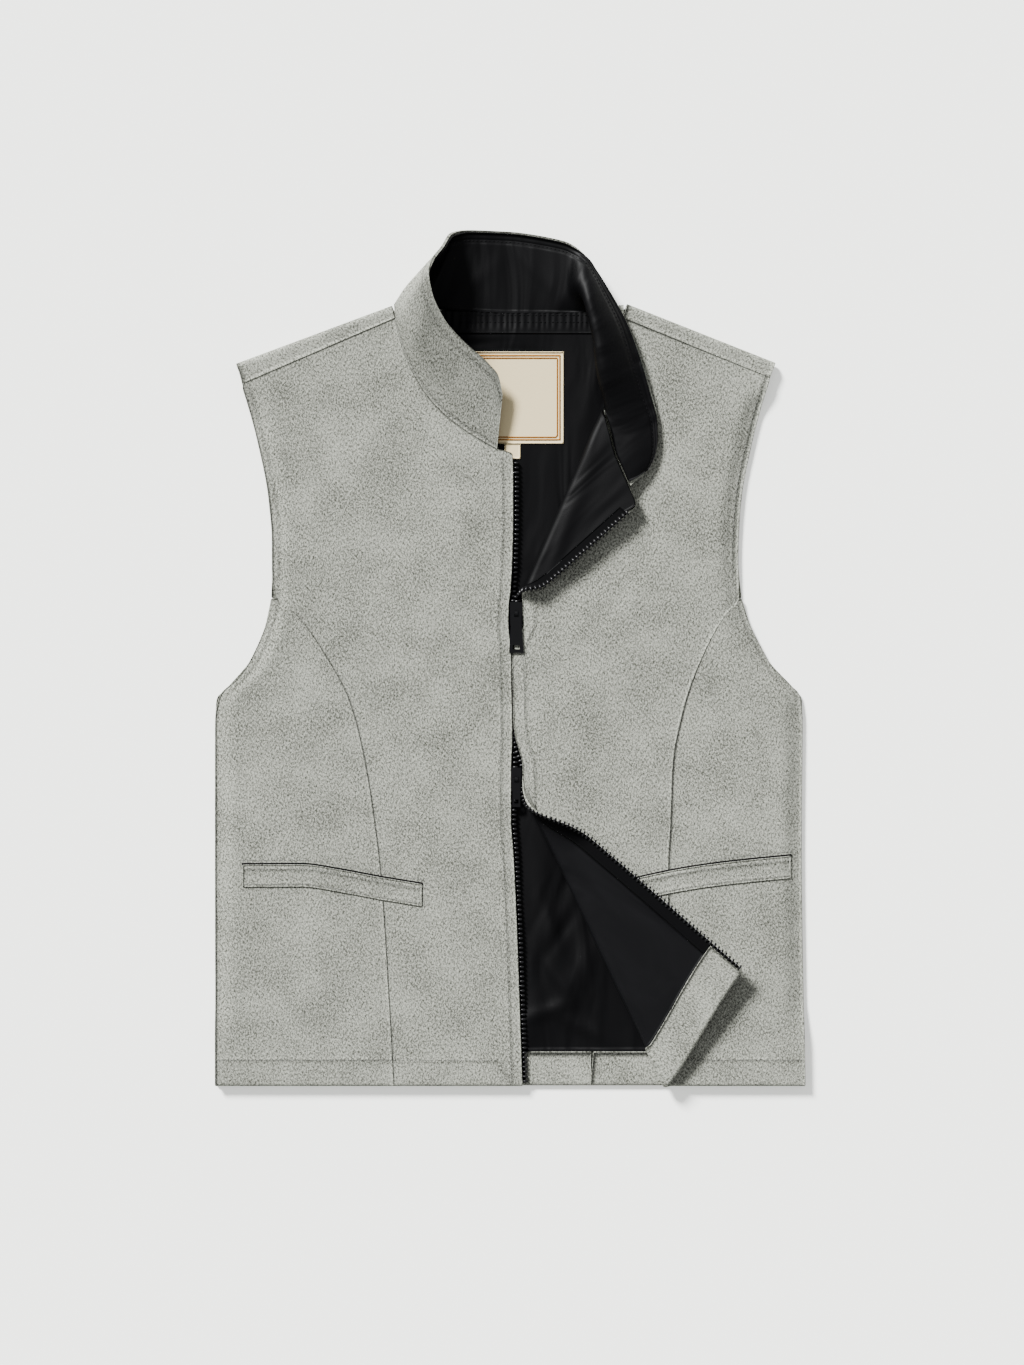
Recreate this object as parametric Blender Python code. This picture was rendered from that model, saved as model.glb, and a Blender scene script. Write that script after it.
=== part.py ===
"""A grey wool zip vest laid flat, with the left front's top and bottom corners turned back.

Lengths are millimetres in the garment's own frame until add_body turns them into metres: across is
measured from the zip line, up from the hem, and height from the surface the vest lies on. Right and
left are the wearer's, so the wearer's right front lies at -across, with its outside up.
"""
import math
from collections import namedtuple

import bpy
import numpy as np

# Cloth and gaps.
WOOL = 2.0
SATIN = 1.0
TAPE = 0.6
TAPE_GAP = 0.6
TAPE_SLACK = 1.2
SEAM_GAP = 0.3

# Levels of the layers: the back lies on the surface and the fronts lie over it.
LINING_LEVEL = WOOL + SEAM_GAP
SHOULDER_RADIUS = 4.6
FRONT_TOP = 2 * SHOULDER_RADIUS
HEM_RADIUS = WOOL + SEAM_GAP / 2
HEM_TURN_UP = 29.0
CORNER_TURN_UP = 36.0
SIDE_DROP = FRONT_TOP - (2 * WOOL + SEAM_GAP)
SIDE_ROUND = 18.0

# Heights above the hem.
BACK_NECK = 669.5
BACK_LINING_TOP = 669.6
CHEST_LINE = 424.5

# The middle of the laid vest, which becomes the origin.
NECK_TRIM = 0.45
MIDDLE_ACROSS = -0.05
MIDDLE_UP = 370.72

SideRow = namedtuple("SideRow", "up right left")
BODY_SIDE = [
    SideRow(0.0, 255.2, 255.5),
    SideRow(212.0, 255.6, 252.6),
    SideRow(331.0, 255.5, 253.5),
    SideRow(339.8, 250.3, 250.3),
    SideRow(355.9, 233.8, 232.5),
    SideRow(378.9, 219.9, 218.1),
    SideRow(419.7, 207.3, 201.3),
    SideRow(464.0, 206.0, 197.7),
    SideRow(508.4, 209.1, 200.4),
    SideRow(556.2, 218.1, 209.2),
    SideRow(607.9, 232.0, 223.2),
    SideRow(627.0, 237.2, 229.9),
]
PRINCESS_SEAM = [
    SideRow(0.0, 100.8, 141.5),
    SideRow(79.1, 105.1, 137.6),
    SideRow(186.0, 112.4, 136.8),
    SideRow(230.3, 117.7, 139.0),
    SideRow(278.0, 125.2, 140.8),
    SideRow(331.1, 138.2, 151.2),
    SideRow(378.9, 163.4, 169.6),
    SideRow(411.0, 187.7, 188.6),
    SideRow(CHEST_LINE, 206.6, 200.9),
]
BACK_PRINCESS_SEAM = [
    SideRow(0.0, 70.0, 70.0),
    SideRow(230.0, 92.0, 92.0),
    SideRow(360.0, 150.0, 148.0),
    SideRow(CHEST_LINE, 206.6, 200.9),
]

# The front edges: how far across the right and the left front's zip edge lies at each height.
EdgeRow = namedtuple("EdgeRow", "up right left right_reach left_reach")
ZIP_EDGE = [
    EdgeRow(3.5, 10.4, 17.6, 2.5, 2.5),
    EdgeRow(38.0, 9.2, 16.6, 2.5, 2.5),
    EdgeRow(150.0, 5.2, 13.2, 2.5, 2.5),
    EdgeRow(203.0, 2.6, 12.2, 2.5, 2.5),
    EdgeRow(232.0, 0.6, 11.6, 2.5, 2.5),
    EdgeRow(250.0, 0.6, 11.6, 3.6, -1.0),
    EdgeRow(266.0, 0.6, 11.6, 3.6, -1.0),
    EdgeRow(278.0, 0.7, 11.4, 3.6, 0.7),
    EdgeRow(290.0, 1.2, 8.6, 2.6, 2.6),
    EdgeRow(302.0, 1.6, 5.2, 1.0, 1.0),
    EdgeRow(317.0, 1.6, 3.5, 0.3, 0.3),
    EdgeRow(348.0, 0.9, 2.9, 0.3, 0.3),
    EdgeRow(373.7, 0.7, 2.4, 0.3, 0.3),
    EdgeRow(382.0, 0.0, 4.2, 1.2, 1.2),
    EdgeRow(394.0, -1.2, 9.4, 4.0, 4.0),
    EdgeRow(400.0, -1.7, 11.7, 4.0, 4.0),
    EdgeRow(420.0, -1.2, 11.7, 4.0, 4.0),
    EdgeRow(427.0, 0.0, 10.0, 3.0, -1.0),
    EdgeRow(434.0, 0.4, 7.6, 3.0, -1.0),
    EdgeRow(445.0, 1.2, 4.4, 3.0, -1.0),
    EdgeRow(508.4, 2.6, 2.4, 3.0, -1.0),
    EdgeRow(547.5, 1.7, 1.7, 3.0, -1.0),
]

# The neck seam from the right front's corner round the back to the left front's corner, and the
# points where the collar's outside rolls and where it ends. The left front's rows are given before
# its corner is turned back. Where the collar folds over on itself the roll has a width.
NeckRow = namedtuple("NeckRow", "across up height roll_across roll_up roll_height"
                     " edge_across edge_up edge_height roll_width clear")
NECK = [
    NeckRow(-11.3, 551.8, 9.2, -8.9, 575, 14.6, -6.4, 598.3, 16.7, 0, 0.6),
    NeckRow(-20.9, 557, 9.2, -15.4, 585.4, 16.7, -9.8, 614.1, 20.8, 0, 0.6),
    NeckRow(-39.1, 568.3, 9.2, -28.9, 596.2, 19.3, -18.6, 624.7, 25.8, 0, 0.6),
    NeckRow(-60, 584.8, 9.2, -49.9, 612.5, 23.5, -39.1, 642.2, 31.4, 0, 0.6),
    NeckRow(-77.3, 605.7, 9.2, -68, 631.4, 29.6, -56.7, 662.2, 38.4, 0, 0.6),
    NeckRow(-92.1, 636.1, 9.2, -82.5, 654.1, 37.3, -66.7, 683.9, 46.5, 0, 0.6),
    NeckRow(-99.1, 661.3, 9.2, -89.4, 674.2, 39.4, -69.4, 700.8, 50.3, 0, 0.6),
    NeckRow(-100.9, 677.4, 4.6, -89.5, 688.8, 34.4, -66.5, 711.8, 47.5, 0, 0.6),
    NeckRow(-90, 673.8, 0.3, -73.9, 699.5, 18.5, -58.7, 723.9, 38.6, 0, 0.6),
    NeckRow(-69.5, 673.4, 0, -59.6, 707.9, 3.4, -50.9, 738.3, 17, 0, 0.6),
    NeckRow(-41.7, 671.4, 0, -37.9, 707.2, 1.2, -34.3, 742.2, 4.3, 0, 0.6),
    NeckRow(0, 669.5, 0, 0, 705.5, 0.4, 0, 741, 1.1, 0, 0.6),
    NeckRow(43.5, 670.9, 0, 50.3, 697.9, 6, 51.1, 730.7, 7, 0, 0.6),
    NeckRow(66, 673.2, 0, 58.7, 693.8, 18, 62.4, 720.8, 10, 3, 0.6),
    NeckRow(84, 673.8, 0.4, 64, 686.1, 25, 72.7, 706.7, 12, 7, 0.6),
    NeckRow(99.2, 677.4, 4.6, 67.9, 673.6, 29, 83.4, 690, 14, 9, 0.6),
    NeckRow(97.3, 649.1, 9.2, 75.2, 645.8, 31, 100.3, 659.8, 14, 10, 0.6),
    NeckRow(91.2, 619.6, 9.2, 79.6, 618.5, 29, 111.6, 631.3, 13, 9, 0.9),
    NeckRow(82.6, 587.4, 9.2, 90, 592.5, 20, 122, 597.6, 12.5, 5, 3),
    NeckRow(60.5, 573.1, 9.2, 106.3, 567.1, 15.5, 127.6, 576, 12.5, 0, 1.6),
    NeckRow(47, 565.9, 9.2, 108.9, 553.3, 15.5, 128, 562.2, 12.5, 0, 0.6),
    NeckRow(32.8, 560.9, 9.2, 111.5, 538.6, 15.5, 125.5, 548.3, 12.5, 0, 0.6),
    NeckRow(18.5, 555.8, 9.2, 108, 523.9, 15.5, 116.8, 530.1, 13, 0, 0.6),
]
SHOULDER_RIGHT_ROW = 6
SHOULDER_LEFT_ROW = 16
# Places in the neck table with a section: every half row, and more where the collar folds sharply.
NECK_STATIONS = sorted([i / 2 for i in range(2 * len(NECK) - 1)]
                       + [17.75, 18.25, 18.75, 19.25])

# The two creases along which the left front's corners are turned back. The corner lies to the left
# of the line from its first point to its last, and the turn fades out between the named distances.
Crease = namedtuple("Crease", "across up end_across end_up radius angle start fade_in end fade_out")
LAPEL_CREASE = Crease(12.8, 420.0, 85.5, 586.1, 2.0, 174, -4.0, 22.0, 178.0, 26.0)
CORNER_CREASE = Crease(135.8, 7.4, 25.4, 238.5, 2.0, 174, -60.0, 1.0, 212.0, 95.0)
# The left front's hem corner is drawn up the front a little.
CORNER_LIFT = 13.0

# The shoulder line, where the back folds over to the front, and the forward seam it reaches.
Shoulder = namedtuple("Shoulder", "tip_across tip_up neck_across neck_up tip_seam neck_seam")
RIGHT_SHOULDER = Shoulder(-237.2, 626.5, -102.8, 676.5, 18.2, 11.1)
LEFT_SHOULDER = Shoulder(229.9, 627.2, 101.8, 678.0, 14.0, 12.5)

# Soft ridges and hollows of the fronts.
Ridge = namedtuple("Ridge", "across up heading length width height")
RIDGES = [
    Ridge(-60, 480, 80, 120, 26, 0.9),
    Ridge(-150, 470, 60, 80, 22, 0.8),
    Ridge(-60, 230, 95, 150, 30, 0.8),
    Ridge(-190, 240, 85, 90, 26, 0.9),
    Ridge(-170, 90, 70, 70, 26, 0.7),
    Ridge(70, 330, 70, 110, 28, 0.9),
    Ridge(150, 480, 110, 90, 26, 0.8),
    Ridge(200, 260, 95, 90, 24, 0.9),
    Ridge(200, 90, 110, 70, 26, 0.8),
]

# Folds of the back lining that show inside the neck and between the open fronts.
LINING_FOLDS = [
    Ridge(28, 190, 100, 70, 10, 1.3),
    Ridge(36, 120, 120, 60, 10, 1.5),
    Ridge(56, 90, 60, 40, 10, 1.3),
    Ridge(20, 60, 75, 40, 9, 1.3),
    Ridge(-10, 652, 2, 50, 9, 1.2),
]

# Welt pockets: the upper edge of each welt.
WeltRow = namedtuple("WeltRow", "across top")
RIGHT_WELT = [WeltRow(-231.0, 191.6), WeltRow(-181.0, 191.8), WeltRow(-145.0, 186.8),
              WeltRow(-112.0, 180.6), WeltRow(-76.5, 174.8)]
LEFT_WELT = [WeltRow(96.0, 176.6), WeltRow(142.0, 186.8), WeltRow(168.6, 191.2),
             WeltRow(204.2, 195.5), WeltRow(243.0, 199.2)]
WELT_DEPTH = 18.6

LABEL_CENTRE = -0.8
LABEL_WIDTH = 94.0
LABEL_BOTTOM = 557.4
LABEL_HEIGHT = 79.0
LABEL_THICKNESS = 0.5
TAB_WIDTH = 13.0
TAB_HEIGHT = 13.0

# Zip sliders: the upper one opens the neck, the lower one opens the hem.
SliderSize = namedtuple("SliderSize", "across up width length pull_length pull_top pull_foot")
UPPER_SLIDER = SliderSize(5.4, 409.5, 10.8, 20.0, 34.0, 8.6, 12.6)
LOWER_SLIDER = SliderSize(5.5, 266.0, 9.0, 20.0, 24.0, 6.4, 7.0)
SLIDER_FLOOR = 3.6
SLIDER_PLATE = 1.4
SLIDER_SLIT = 1.3
SLIDER_LIP = 0.7
ARCH_RADIUS = 1.9
ARCH_THICKNESS = 1.2
ARCH_WIDTH = 2.4
PULL_THICKNESS = 1.4
PULL_BAR = 1.2


def smooth(rows, column, at):
    """A table's named column read at a value of its first column, on a curve with no overshoot."""
    places = np.array([row[0] for row in rows], dtype=float)
    values = np.array([getattr(row, column) for row in rows], dtype=float)
    return monotone(places, values, at)


def monotone(places, values, at):
    """Monotone cubic through the values, held level past both ends."""
    steps = np.diff(places)
    slopes = np.diff(values) / steps
    bends = np.zeros(len(places))
    bends[0], bends[-1] = slopes[0], slopes[-1]
    for i in range(1, len(places) - 1):
        before, after = slopes[i - 1], slopes[i]
        if before * after > 0:
            near, far = 2 * steps[i] + steps[i - 1], steps[i] + 2 * steps[i - 1]
            bends[i] = (near + far) / (near / before + far / after)
    at = min(max(at, places[0]), places[-1])
    i = min(int(np.searchsorted(places, at, side="right")) - 1, len(steps) - 1)
    share = (at - places[i]) / steps[i]
    return (values[i] * (1 + 2 * share) * (1 - share) ** 2
            + steps[i] * bends[i] * share * (1 - share) ** 2
            + values[i + 1] * share ** 2 * (3 - 2 * share)
            + steps[i] * bends[i + 1] * share ** 2 * (share - 1))


def ramp(value, start, length):
    """Rises smoothly from 0 at start to 1 a length further on."""
    share = min(max((value - start) / length, 0.0), 1.0)
    return share * share * (3 - 2 * share)


def mix(first, last, share):
    """The point a share of the way from the first to the last."""
    return tuple(a + (b - a) * share for a, b in zip(first, last))


def bent(distance, depth, radius, angle, up=1):
    """How far on and how high cloth comes to lie when it is bent round a line.

    depth is the height over the reference face, up is 1 for a turn over and -1 for a turn under.
    """
    if distance <= 0:
        return distance, depth
    turned = min(distance / radius, angle)
    rest = distance - turned * radius
    reach = radius - up * depth
    onward = reach * math.sin(turned) + rest * math.cos(turned)
    return onward, up * (radius - reach * math.cos(turned) + rest * math.sin(turned))


def turned_back(crease, across, up, depth):
    """Takes a point of the cloth round a crease, as foot, point in plan and height over the crease."""
    run = (crease.end_across - crease.across, crease.end_up - crease.up)
    length = math.hypot(*run)
    onward = (run[0] / length, run[1] / length)
    aside = (-onward[1], onward[0])
    offset = (across - crease.across, up - crease.up)
    along = offset[0] * onward[0] + offset[1] * onward[1]
    distance = offset[0] * aside[0] + offset[1] * aside[1]
    share = ramp(along, crease.start, crease.fade_in) * (1 - ramp(along, crease.end, crease.fade_out))
    if distance <= 0 or share == 0:
        return None
    foot = (crease.across + onward[0] * along, crease.up + onward[1] * along)
    reach, lift = bent(distance, depth, crease.radius, math.radians(crease.angle) * share)
    return foot, (foot[0] + aside[0] * reach, foot[1] + aside[1] * reach), lift


def crease_distance(crease, across, up):
    """How far a point lies past a crease, on the corner's side."""
    run = (crease.end_across - crease.across, crease.end_up - crease.up)
    offset = (across - crease.across, up - crease.up)
    return (run[0] * offset[1] - run[1] * offset[0]) / math.hypot(*run)


def hem_turned(across, up, depth, direction):
    """The hem: the cloth below the hem line is turned over (back) or under (fronts)."""
    reach, lift = bent(HEM_RADIUS - up, depth, HEM_RADIUS, math.pi, direction)
    return HEM_RADIUS - reach, lift


def ridged(ridges, across, up):
    """Sum of the soft ridges at a point."""
    total = 0.0
    for ridge in ridges:
        heading = math.radians(ridge.heading)
        dx, dy = across - ridge.across, up - ridge.up
        along = dx * math.cos(heading) + dy * math.sin(heading)
        aside = -dx * math.sin(heading) + dy * math.cos(heading)
        total += ridge.height * math.exp(-(along / ridge.length) ** 2 - (aside / ridge.width) ** 2)
    return total


def body_half(up, across):
    """Half width of the body at a height, on the side that across is on."""
    return smooth(BODY_SIDE, "right" if across < 0 else "left", up)


def front_level(across, up):
    """Height of the fronts' outside: level, rounded down to the back at sides and armholes."""
    edge = 1 - ramp(body_half(up, across) - abs(across), 0, SIDE_ROUND)
    kept = ramp(up, 38, 40) * (1 - ramp(up, 580, 30))
    return FRONT_TOP + ridged(RIDGES, across, up) * (1 - edge) * ramp(up, 20, 50) - SIDE_DROP * edge * kept


def lay_right_front(across, up, depth):
    up, depth = hem_turned(across, up, depth, -1)
    return across, up, front_level(across, up) + depth


def drawn_up(across, up, depth):
    """The left front's hem turned under, with its corner drawn up towards the zip."""
    up, depth = hem_turned(across, up, depth, -1)
    return up + CORNER_LIFT * ramp(138 - across, 0, 125) * (1 - ramp(up, 0, 220)), depth


def lay_left_front(across, up, depth):
    up, depth = drawn_up(across, up, depth)
    for crease in (LAPEL_CREASE, CORNER_CREASE):
        turned = turned_back(crease, across, up, depth)
        if turned:
            foot, (across, up), lift = turned
            return across, up, front_level(*foot) + lift
    return across, up, front_level(across, up) + depth


def shoulder_frame(across):
    """The shoulder on one side: its tip on the bend line, its run and its outward direction."""
    side = RIGHT_SHOULDER if across < 0 else LEFT_SHOULDER
    run = (side.neck_across - side.tip_across, side.neck_up - side.tip_up)
    length = math.hypot(*run)
    onward = (run[0] / length, run[1] / length)
    outward = (-onward[1], onward[0]) if across < 0 else (onward[1], -onward[0])
    tip = (side.tip_across - outward[0] * SHOULDER_RADIUS, side.tip_up - outward[1] * SHOULDER_RADIUS)
    return side, tip, onward, outward, length


def lay_back(across, up, depth):
    up, depth = hem_turned(across, up, depth, 1)
    side, tip, onward, outward, length = shoulder_frame(across)
    offset = (across - tip[0], up - tip[1])
    along = offset[0] * onward[0] + offset[1] * onward[1]
    distance = offset[0] * outward[0] + offset[1] * outward[1]
    if distance <= 0:
        return across, up, depth
    reach, lift = bent(distance, depth, SHOULDER_RADIUS, math.pi)
    return (tip[0] + onward[0] * along + outward[0] * reach,
            tip[1] + onward[1] * along + outward[1] * reach, lift)


def lay_back_lining(across, up, depth):
    near_neck = ramp(up, 640, 20) + 1 - ramp(up, 250, 20)
    return across, up, LINING_LEVEL + ridged(LINING_FOLDS, across, up) * min(near_neck, 1) + depth


def fabric(name, colour, roughness, metallic=0.0):
    """A plain Principled material."""
    material = bpy.data.materials.new(name)
    material.use_nodes = True
    shader = material.node_tree.nodes["Principled BSDF"]
    shader.inputs["Base Color"].default_value = (*colour, 1.0)
    shader.inputs["Roughness"].default_value = roughness
    shader.inputs["Metallic"].default_value = metallic
    material.diffuse_color = (*colour, 1.0)
    return material


def add_body(name, points, faces, material, smooth_shade=True):
    """One closed body, moved from the garment's millimetres to metres about the origin."""
    mesh = bpy.data.meshes.new(name)
    places = [((x - MIDDLE_ACROSS) / 1000, (y - MIDDLE_UP) / 1000, z / 1000) for x, y, z in points]
    mesh.from_pydata(places, [], faces)
    mesh.materials.append(material)
    if smooth_shade:
        mesh.shade_smooth()
        mesh.set_sharp_from_angle(angle=math.radians(50))
    body = bpy.data.objects.new(name, mesh)
    bpy.context.scene.collection.objects.link(body)
    return body


def close_wall(name, upper, lower, faces, material):
    """Joins an upper and a lower face of the same cloth along their free edges."""
    used = {}
    for face in faces:
        for a, b in zip(face, face[1:] + face[:1]):
            used[(a, b)] = face
    count = len(upper)
    closed = [list(face) for face in faces]
    closed += [[corner + count for corner in reversed(face)] for face in faces]
    closed += [[b, a, a + count, b + count] for a, b in used if (b, a) not in used]
    return add_body(name, list(upper) + list(lower), closed, material)


def pattern_area(pattern, face):
    """Twice a face's area in the pattern, positive where it runs anticlockwise."""
    return sum(pattern[a][0] * pattern[b][1] - pattern[b][0] * pattern[a][1]
               for a, b in zip(face, face[1:] + face[:1]))


def wall(name, sheets, lay, top, bottom, material):
    """A closed wall of cloth from sheets of pattern points, laid at the depths top and bottom."""
    numbers, pattern, faces = {}, [], []
    for sheet in sheets:
        for row, following in zip(sheet, sheet[1:]):
            for a, b, c, d in zip(row, row[1:], following[1:], following):
                for corners in ((a, b, c), (a, c, d)):
                    face = []
                    for point in corners:
                        key = (round(point[0], 3), round(point[1], 3))
                        if key not in numbers:
                            numbers[key] = len(pattern)
                            pattern.append(point)
                        face.append(numbers[key])
                    if len(set(face)) == 3:
                        faces.append(face)
    faces = [face if pattern_area(pattern, face) > 0 else face[::-1] for face in faces]
    upper = [lay(*point, top) for point in pattern]
    lower = [lay(*point, bottom) for point in pattern]
    return close_wall(name, upper, lower, faces, material)


def spread(first, last, count):
    """Evenly spaced values, both ends included."""
    return [first + (last - first) * i / (count - 1) for i in range(count)]


def row_between(first, last, count):
    return [mix(first, last, share) for share in spread(0, 1, count)]


HEM_ARC = math.pi * HEM_RADIUS
# Rows of the fronts below the chest, as heights on the zip edge. They lie closest at the sliders,
# and the princess edge of each row lies lower by the share SEAM_SLANT.
FRONT_HEIGHTS = [461, 447, 438, 431, 425, 419, 400, 391, 382, 370, 345, 318, 302, 290, 278, 266, 256,
                 246, 236, 226, 214, 200, 170, 140, 105, 70, CORNER_TURN_UP + SEAM_GAP, HEM_RADIUS]
SEAM_SLANT = 0.915
SEAM_HEIGHTS = [HEM_RADIUS + (up - HEM_RADIUS) * SEAM_SLANT for up in FRONT_HEIGHTS]
BACK_HEIGHTS = spread(CHEST_LINE - 3.5, 345.0, 4) + [334.0] + spread(300.0, HEM_RADIUS, 5)
ZIP_RIM = 9.0
# Rows above this height can be turned back by the upper crease and rows below it by the lower one.
CREASE_PARTING = 345.0
LEAST_TURN = 8.0


def hem_rows(turn_up):
    """Pattern heights from just above the hem round its bend to the turn-up's end."""
    bend = [HEM_RADIUS - HEM_ARC * share for share in (0, 0.33, 0.67, 1)]
    return bend + [2 * HEM_RADIUS - HEM_ARC - turn_up]


def neck_curve(first, last):
    """Points along the neck seam in the laid pattern, between two rows of its table."""
    rows = np.arange(len(NECK), dtype=float)
    across = np.array([row.across for row in NECK])
    up = np.array([row.up for row in NECK])
    stations = [at for at in NECK_STATIONS if min(first, last) <= at <= max(first, last)]
    if first > last:
        stations.reverse()
    return [(monotone(rows, across, at), monotone(rows, up, at)) for at in stations]


def front_outer(side, up):
    """The outer edge of a front's middle panel: armhole above the chest line, princess seam below."""
    sign = -1 if side == "right" else 1
    if up >= CHEST_LINE:
        return sign * smooth(BODY_SIDE, side, up), up
    return sign * (smooth(PRINCESS_SEAM, side, up) - SEAM_GAP / 2), up


def front_middle_rows(side, turn_up):
    """Ends of each row of a front's middle panel: on neck or zip edge, and on armhole or seam."""
    shoulder = RIGHT_SHOULDER if side == "right" else LEFT_SHOULDER
    last = 0 if side == "right" else len(NECK) - 1
    first = SHOULDER_RIGHT_ROW if side == "right" else SHOULDER_LEFT_ROW
    inner = neck_curve(first, last)
    inner += [(smooth(ZIP_EDGE, side, up), up) for up in (ZIP_EDGE[-1].up, 520.0, 490.0)]
    outward = shoulder_frame(shoulder.tip_across)[3]
    onward = shoulder_frame(shoulder.tip_across)[2]
    trim = NECK_TRIM * (shoulder.neck_seam + SHOULDER_RADIUS / 2)
    seam = [(shoulder.tip_across, shoulder.tip_up, shoulder.tip_seam + SEAM_GAP),
            (shoulder.neck_across - onward[0] * trim, shoulder.neck_up - onward[1] * trim,
             shoulder.neck_seam + SEAM_GAP)]
    seam_tip, seam_neck = [(x - outward[0] * gap, y - outward[1] * gap) for x, y, gap in seam]
    top_up = seam_tip[1] - 4
    share = (top_up - HEM_RADIUS) / (inner[0][1] - HEM_RADIUS)
    rows = [(seam_neck, seam_tip)]
    rows += [(point, front_outer(side, HEM_RADIUS + (point[1] - HEM_RADIUS) * share)) for point in inner]
    for up, height in zip(FRONT_HEIGHTS, SEAM_HEIGHTS):
        rows.append(((smooth(ZIP_EDGE, side, up), up), front_outer(side, height)))
    for up in hem_rows(turn_up)[1:]:
        laid = hem_turned(0, up, 0, -1)[0]
        slanted = HEM_RADIUS - (HEM_RADIUS - up) * SEAM_SLANT if up < -HEM_ARC else up
        edge = smooth(ZIP_EDGE, side, laid)
        outer = front_outer(side, max(laid * SEAM_SLANT, 0))[0]
        rows.append(((edge, up), (outer, slanted)))
    return rows


def creased_row(inner, outer):
    """A row of a front's middle panel from its outer edge to the zip edge.

    It has 18 points: the middle nine follow the bend where a crease turns the row back, and the last
    two are the ends of the zip's rim. The row says whether it is turned back.
    """
    laid = [drawn_up(point[0], point[1], 0)[0] for point in (inner, outer)]
    crease = LAPEL_CREASE if inner[1] > CREASE_PARTING else CORNER_CREASE
    near = crease_distance(crease, inner[0], laid[0])
    far = crease_distance(crease, outer[0], laid[1])
    turned = max(near, LEAST_TURN)
    arc = min(math.pi * crease.radius, 0.4 * turned)
    rim = turned - min(ZIP_RIM, 0.45 * turned)
    levels = spread(0, arc, 9) + spread(arc, rim, 4)[1:] + [turned]
    bent_shares = [1 - (turned - level) / (near - far) for level in levels]
    shares = spread(0, bent_shares[0], 6)[:-1] + bent_shares
    return [mix(outer, inner, share) for share in shares], near > LEAST_TURN


def add_right_front(wool):
    rows = front_middle_rows("right", HEM_TURN_UP)
    sheet = []
    for inner, outer in rows:
        rim = min(ZIP_RIM / math.dist(inner, outer), 0.3)
        sheet.append([mix(outer, inner, share) for share in spread(0, 1 - rim, 7) + [1]])
    wall("right_front_centre", [sheet], lay_right_front, 0, -WOOL, wool)
    wall("right_front_side", [front_side_sheet("right")], lay_right_front, 0, -WOOL, wool)
    return sheet


def add_left_front(wool, satin):
    """The left front, with the lining that shows on its turned corners made from its own points."""
    rows = [creased_row(inner, outer) for inner, outer in front_middle_rows("left", CORNER_TURN_UP)]
    sheet = [row for row, is_bent in rows]
    wall("left_front_centre", [sheet], lay_left_front, 0, -WOOL, wool)
    wall("left_front_side", [front_side_sheet("left")], lay_left_front, 0, -WOOL, wool)
    inset = -WOOL - SEAM_GAP
    for name, lowest, highest in (("lapel_lining", 430, 578), ("corner_lining", CORNER_TURN_UP, 222)):
        lining = []
        for row, is_bent in rows:
            if is_bent and lowest < row[-1][1] < highest:
                beside_neck = row[-1][1] > ZIP_EDGE[-1].up + 1
                lining.append(row[5:-3] + [mix(row[-2], row[-1], 0.85) if beside_neck else row[-3]])
        wall(name, [lining], lay_left_front, inset, inset - SATIN, satin)
    return sheet


def front_side_sheet(side):
    """The side panel of a front, from its point on the armhole down to its hem's turn-up."""
    sign = -1 if side == "right" else 1
    sheet = []
    for up in SEAM_HEIGHTS + hem_rows(HEM_TURN_UP)[1:]:
        laid = max(hem_turned(0, up, 0, -1)[0], 0)
        seam = smooth(PRINCESS_SEAM, side, laid) + SEAM_GAP / 2
        edge = smooth(BODY_SIDE, side, laid)
        sheet.append(row_between((sign * seam, up), (sign * max(edge, seam + 0.6), up), 5))
    return sheet


def coons(top, bottom, left, right):
    """A sheet of points between four edges that meet at their ends."""
    sheet = []
    rows, columns = len(left), len(top)
    for i in range(rows):
        down = i / (rows - 1)
        row = []
        for j in range(columns):
            on = j / (columns - 1)
            upright = mix(top[j], bottom[j], down)
            level = mix(left[i], right[i], on)
            corner = mix(mix(top[0], top[-1], on), mix(bottom[0], bottom[-1], on), down)
            row.append(tuple(a + b - c for a, b, c in zip(upright, level, corner)))
        sheet.append(row)
    return sheet


def shoulder_row(side, distance_tip, distance_neck, count):
    """Points along a shoulder, from its tip to its neck end, past the bend line by the distances."""
    _, tip, onward, outward, length = shoulder_frame(side.tip_across)
    length -= NECK_TRIM * max(distance_neck - math.pi * SHOULDER_RADIUS / 2, 0)
    neck = (tip[0] + onward[0] * length, tip[1] + onward[1] * length)
    start = (tip[0] + outward[0] * distance_tip, tip[1] + outward[1] * distance_tip)
    end = (neck[0] + outward[0] * distance_neck, neck[1] + outward[1] * distance_neck)
    return row_between(start, end, count)


def shoulder_flap(side, count):
    """The stretch of the back that wraps over a shoulder and reaches the forward seam."""
    arc = math.pi * SHOULDER_RADIUS
    rows = [shoulder_row(side, arc * share, arc * share, count) for share in spread(0, 1, 7)]
    tip = arc + side.tip_seam - SHOULDER_RADIUS
    neck = arc + side.neck_seam - SHOULDER_RADIUS
    rows.append(shoulder_row(side, tip, neck, count))
    return rows


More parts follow.
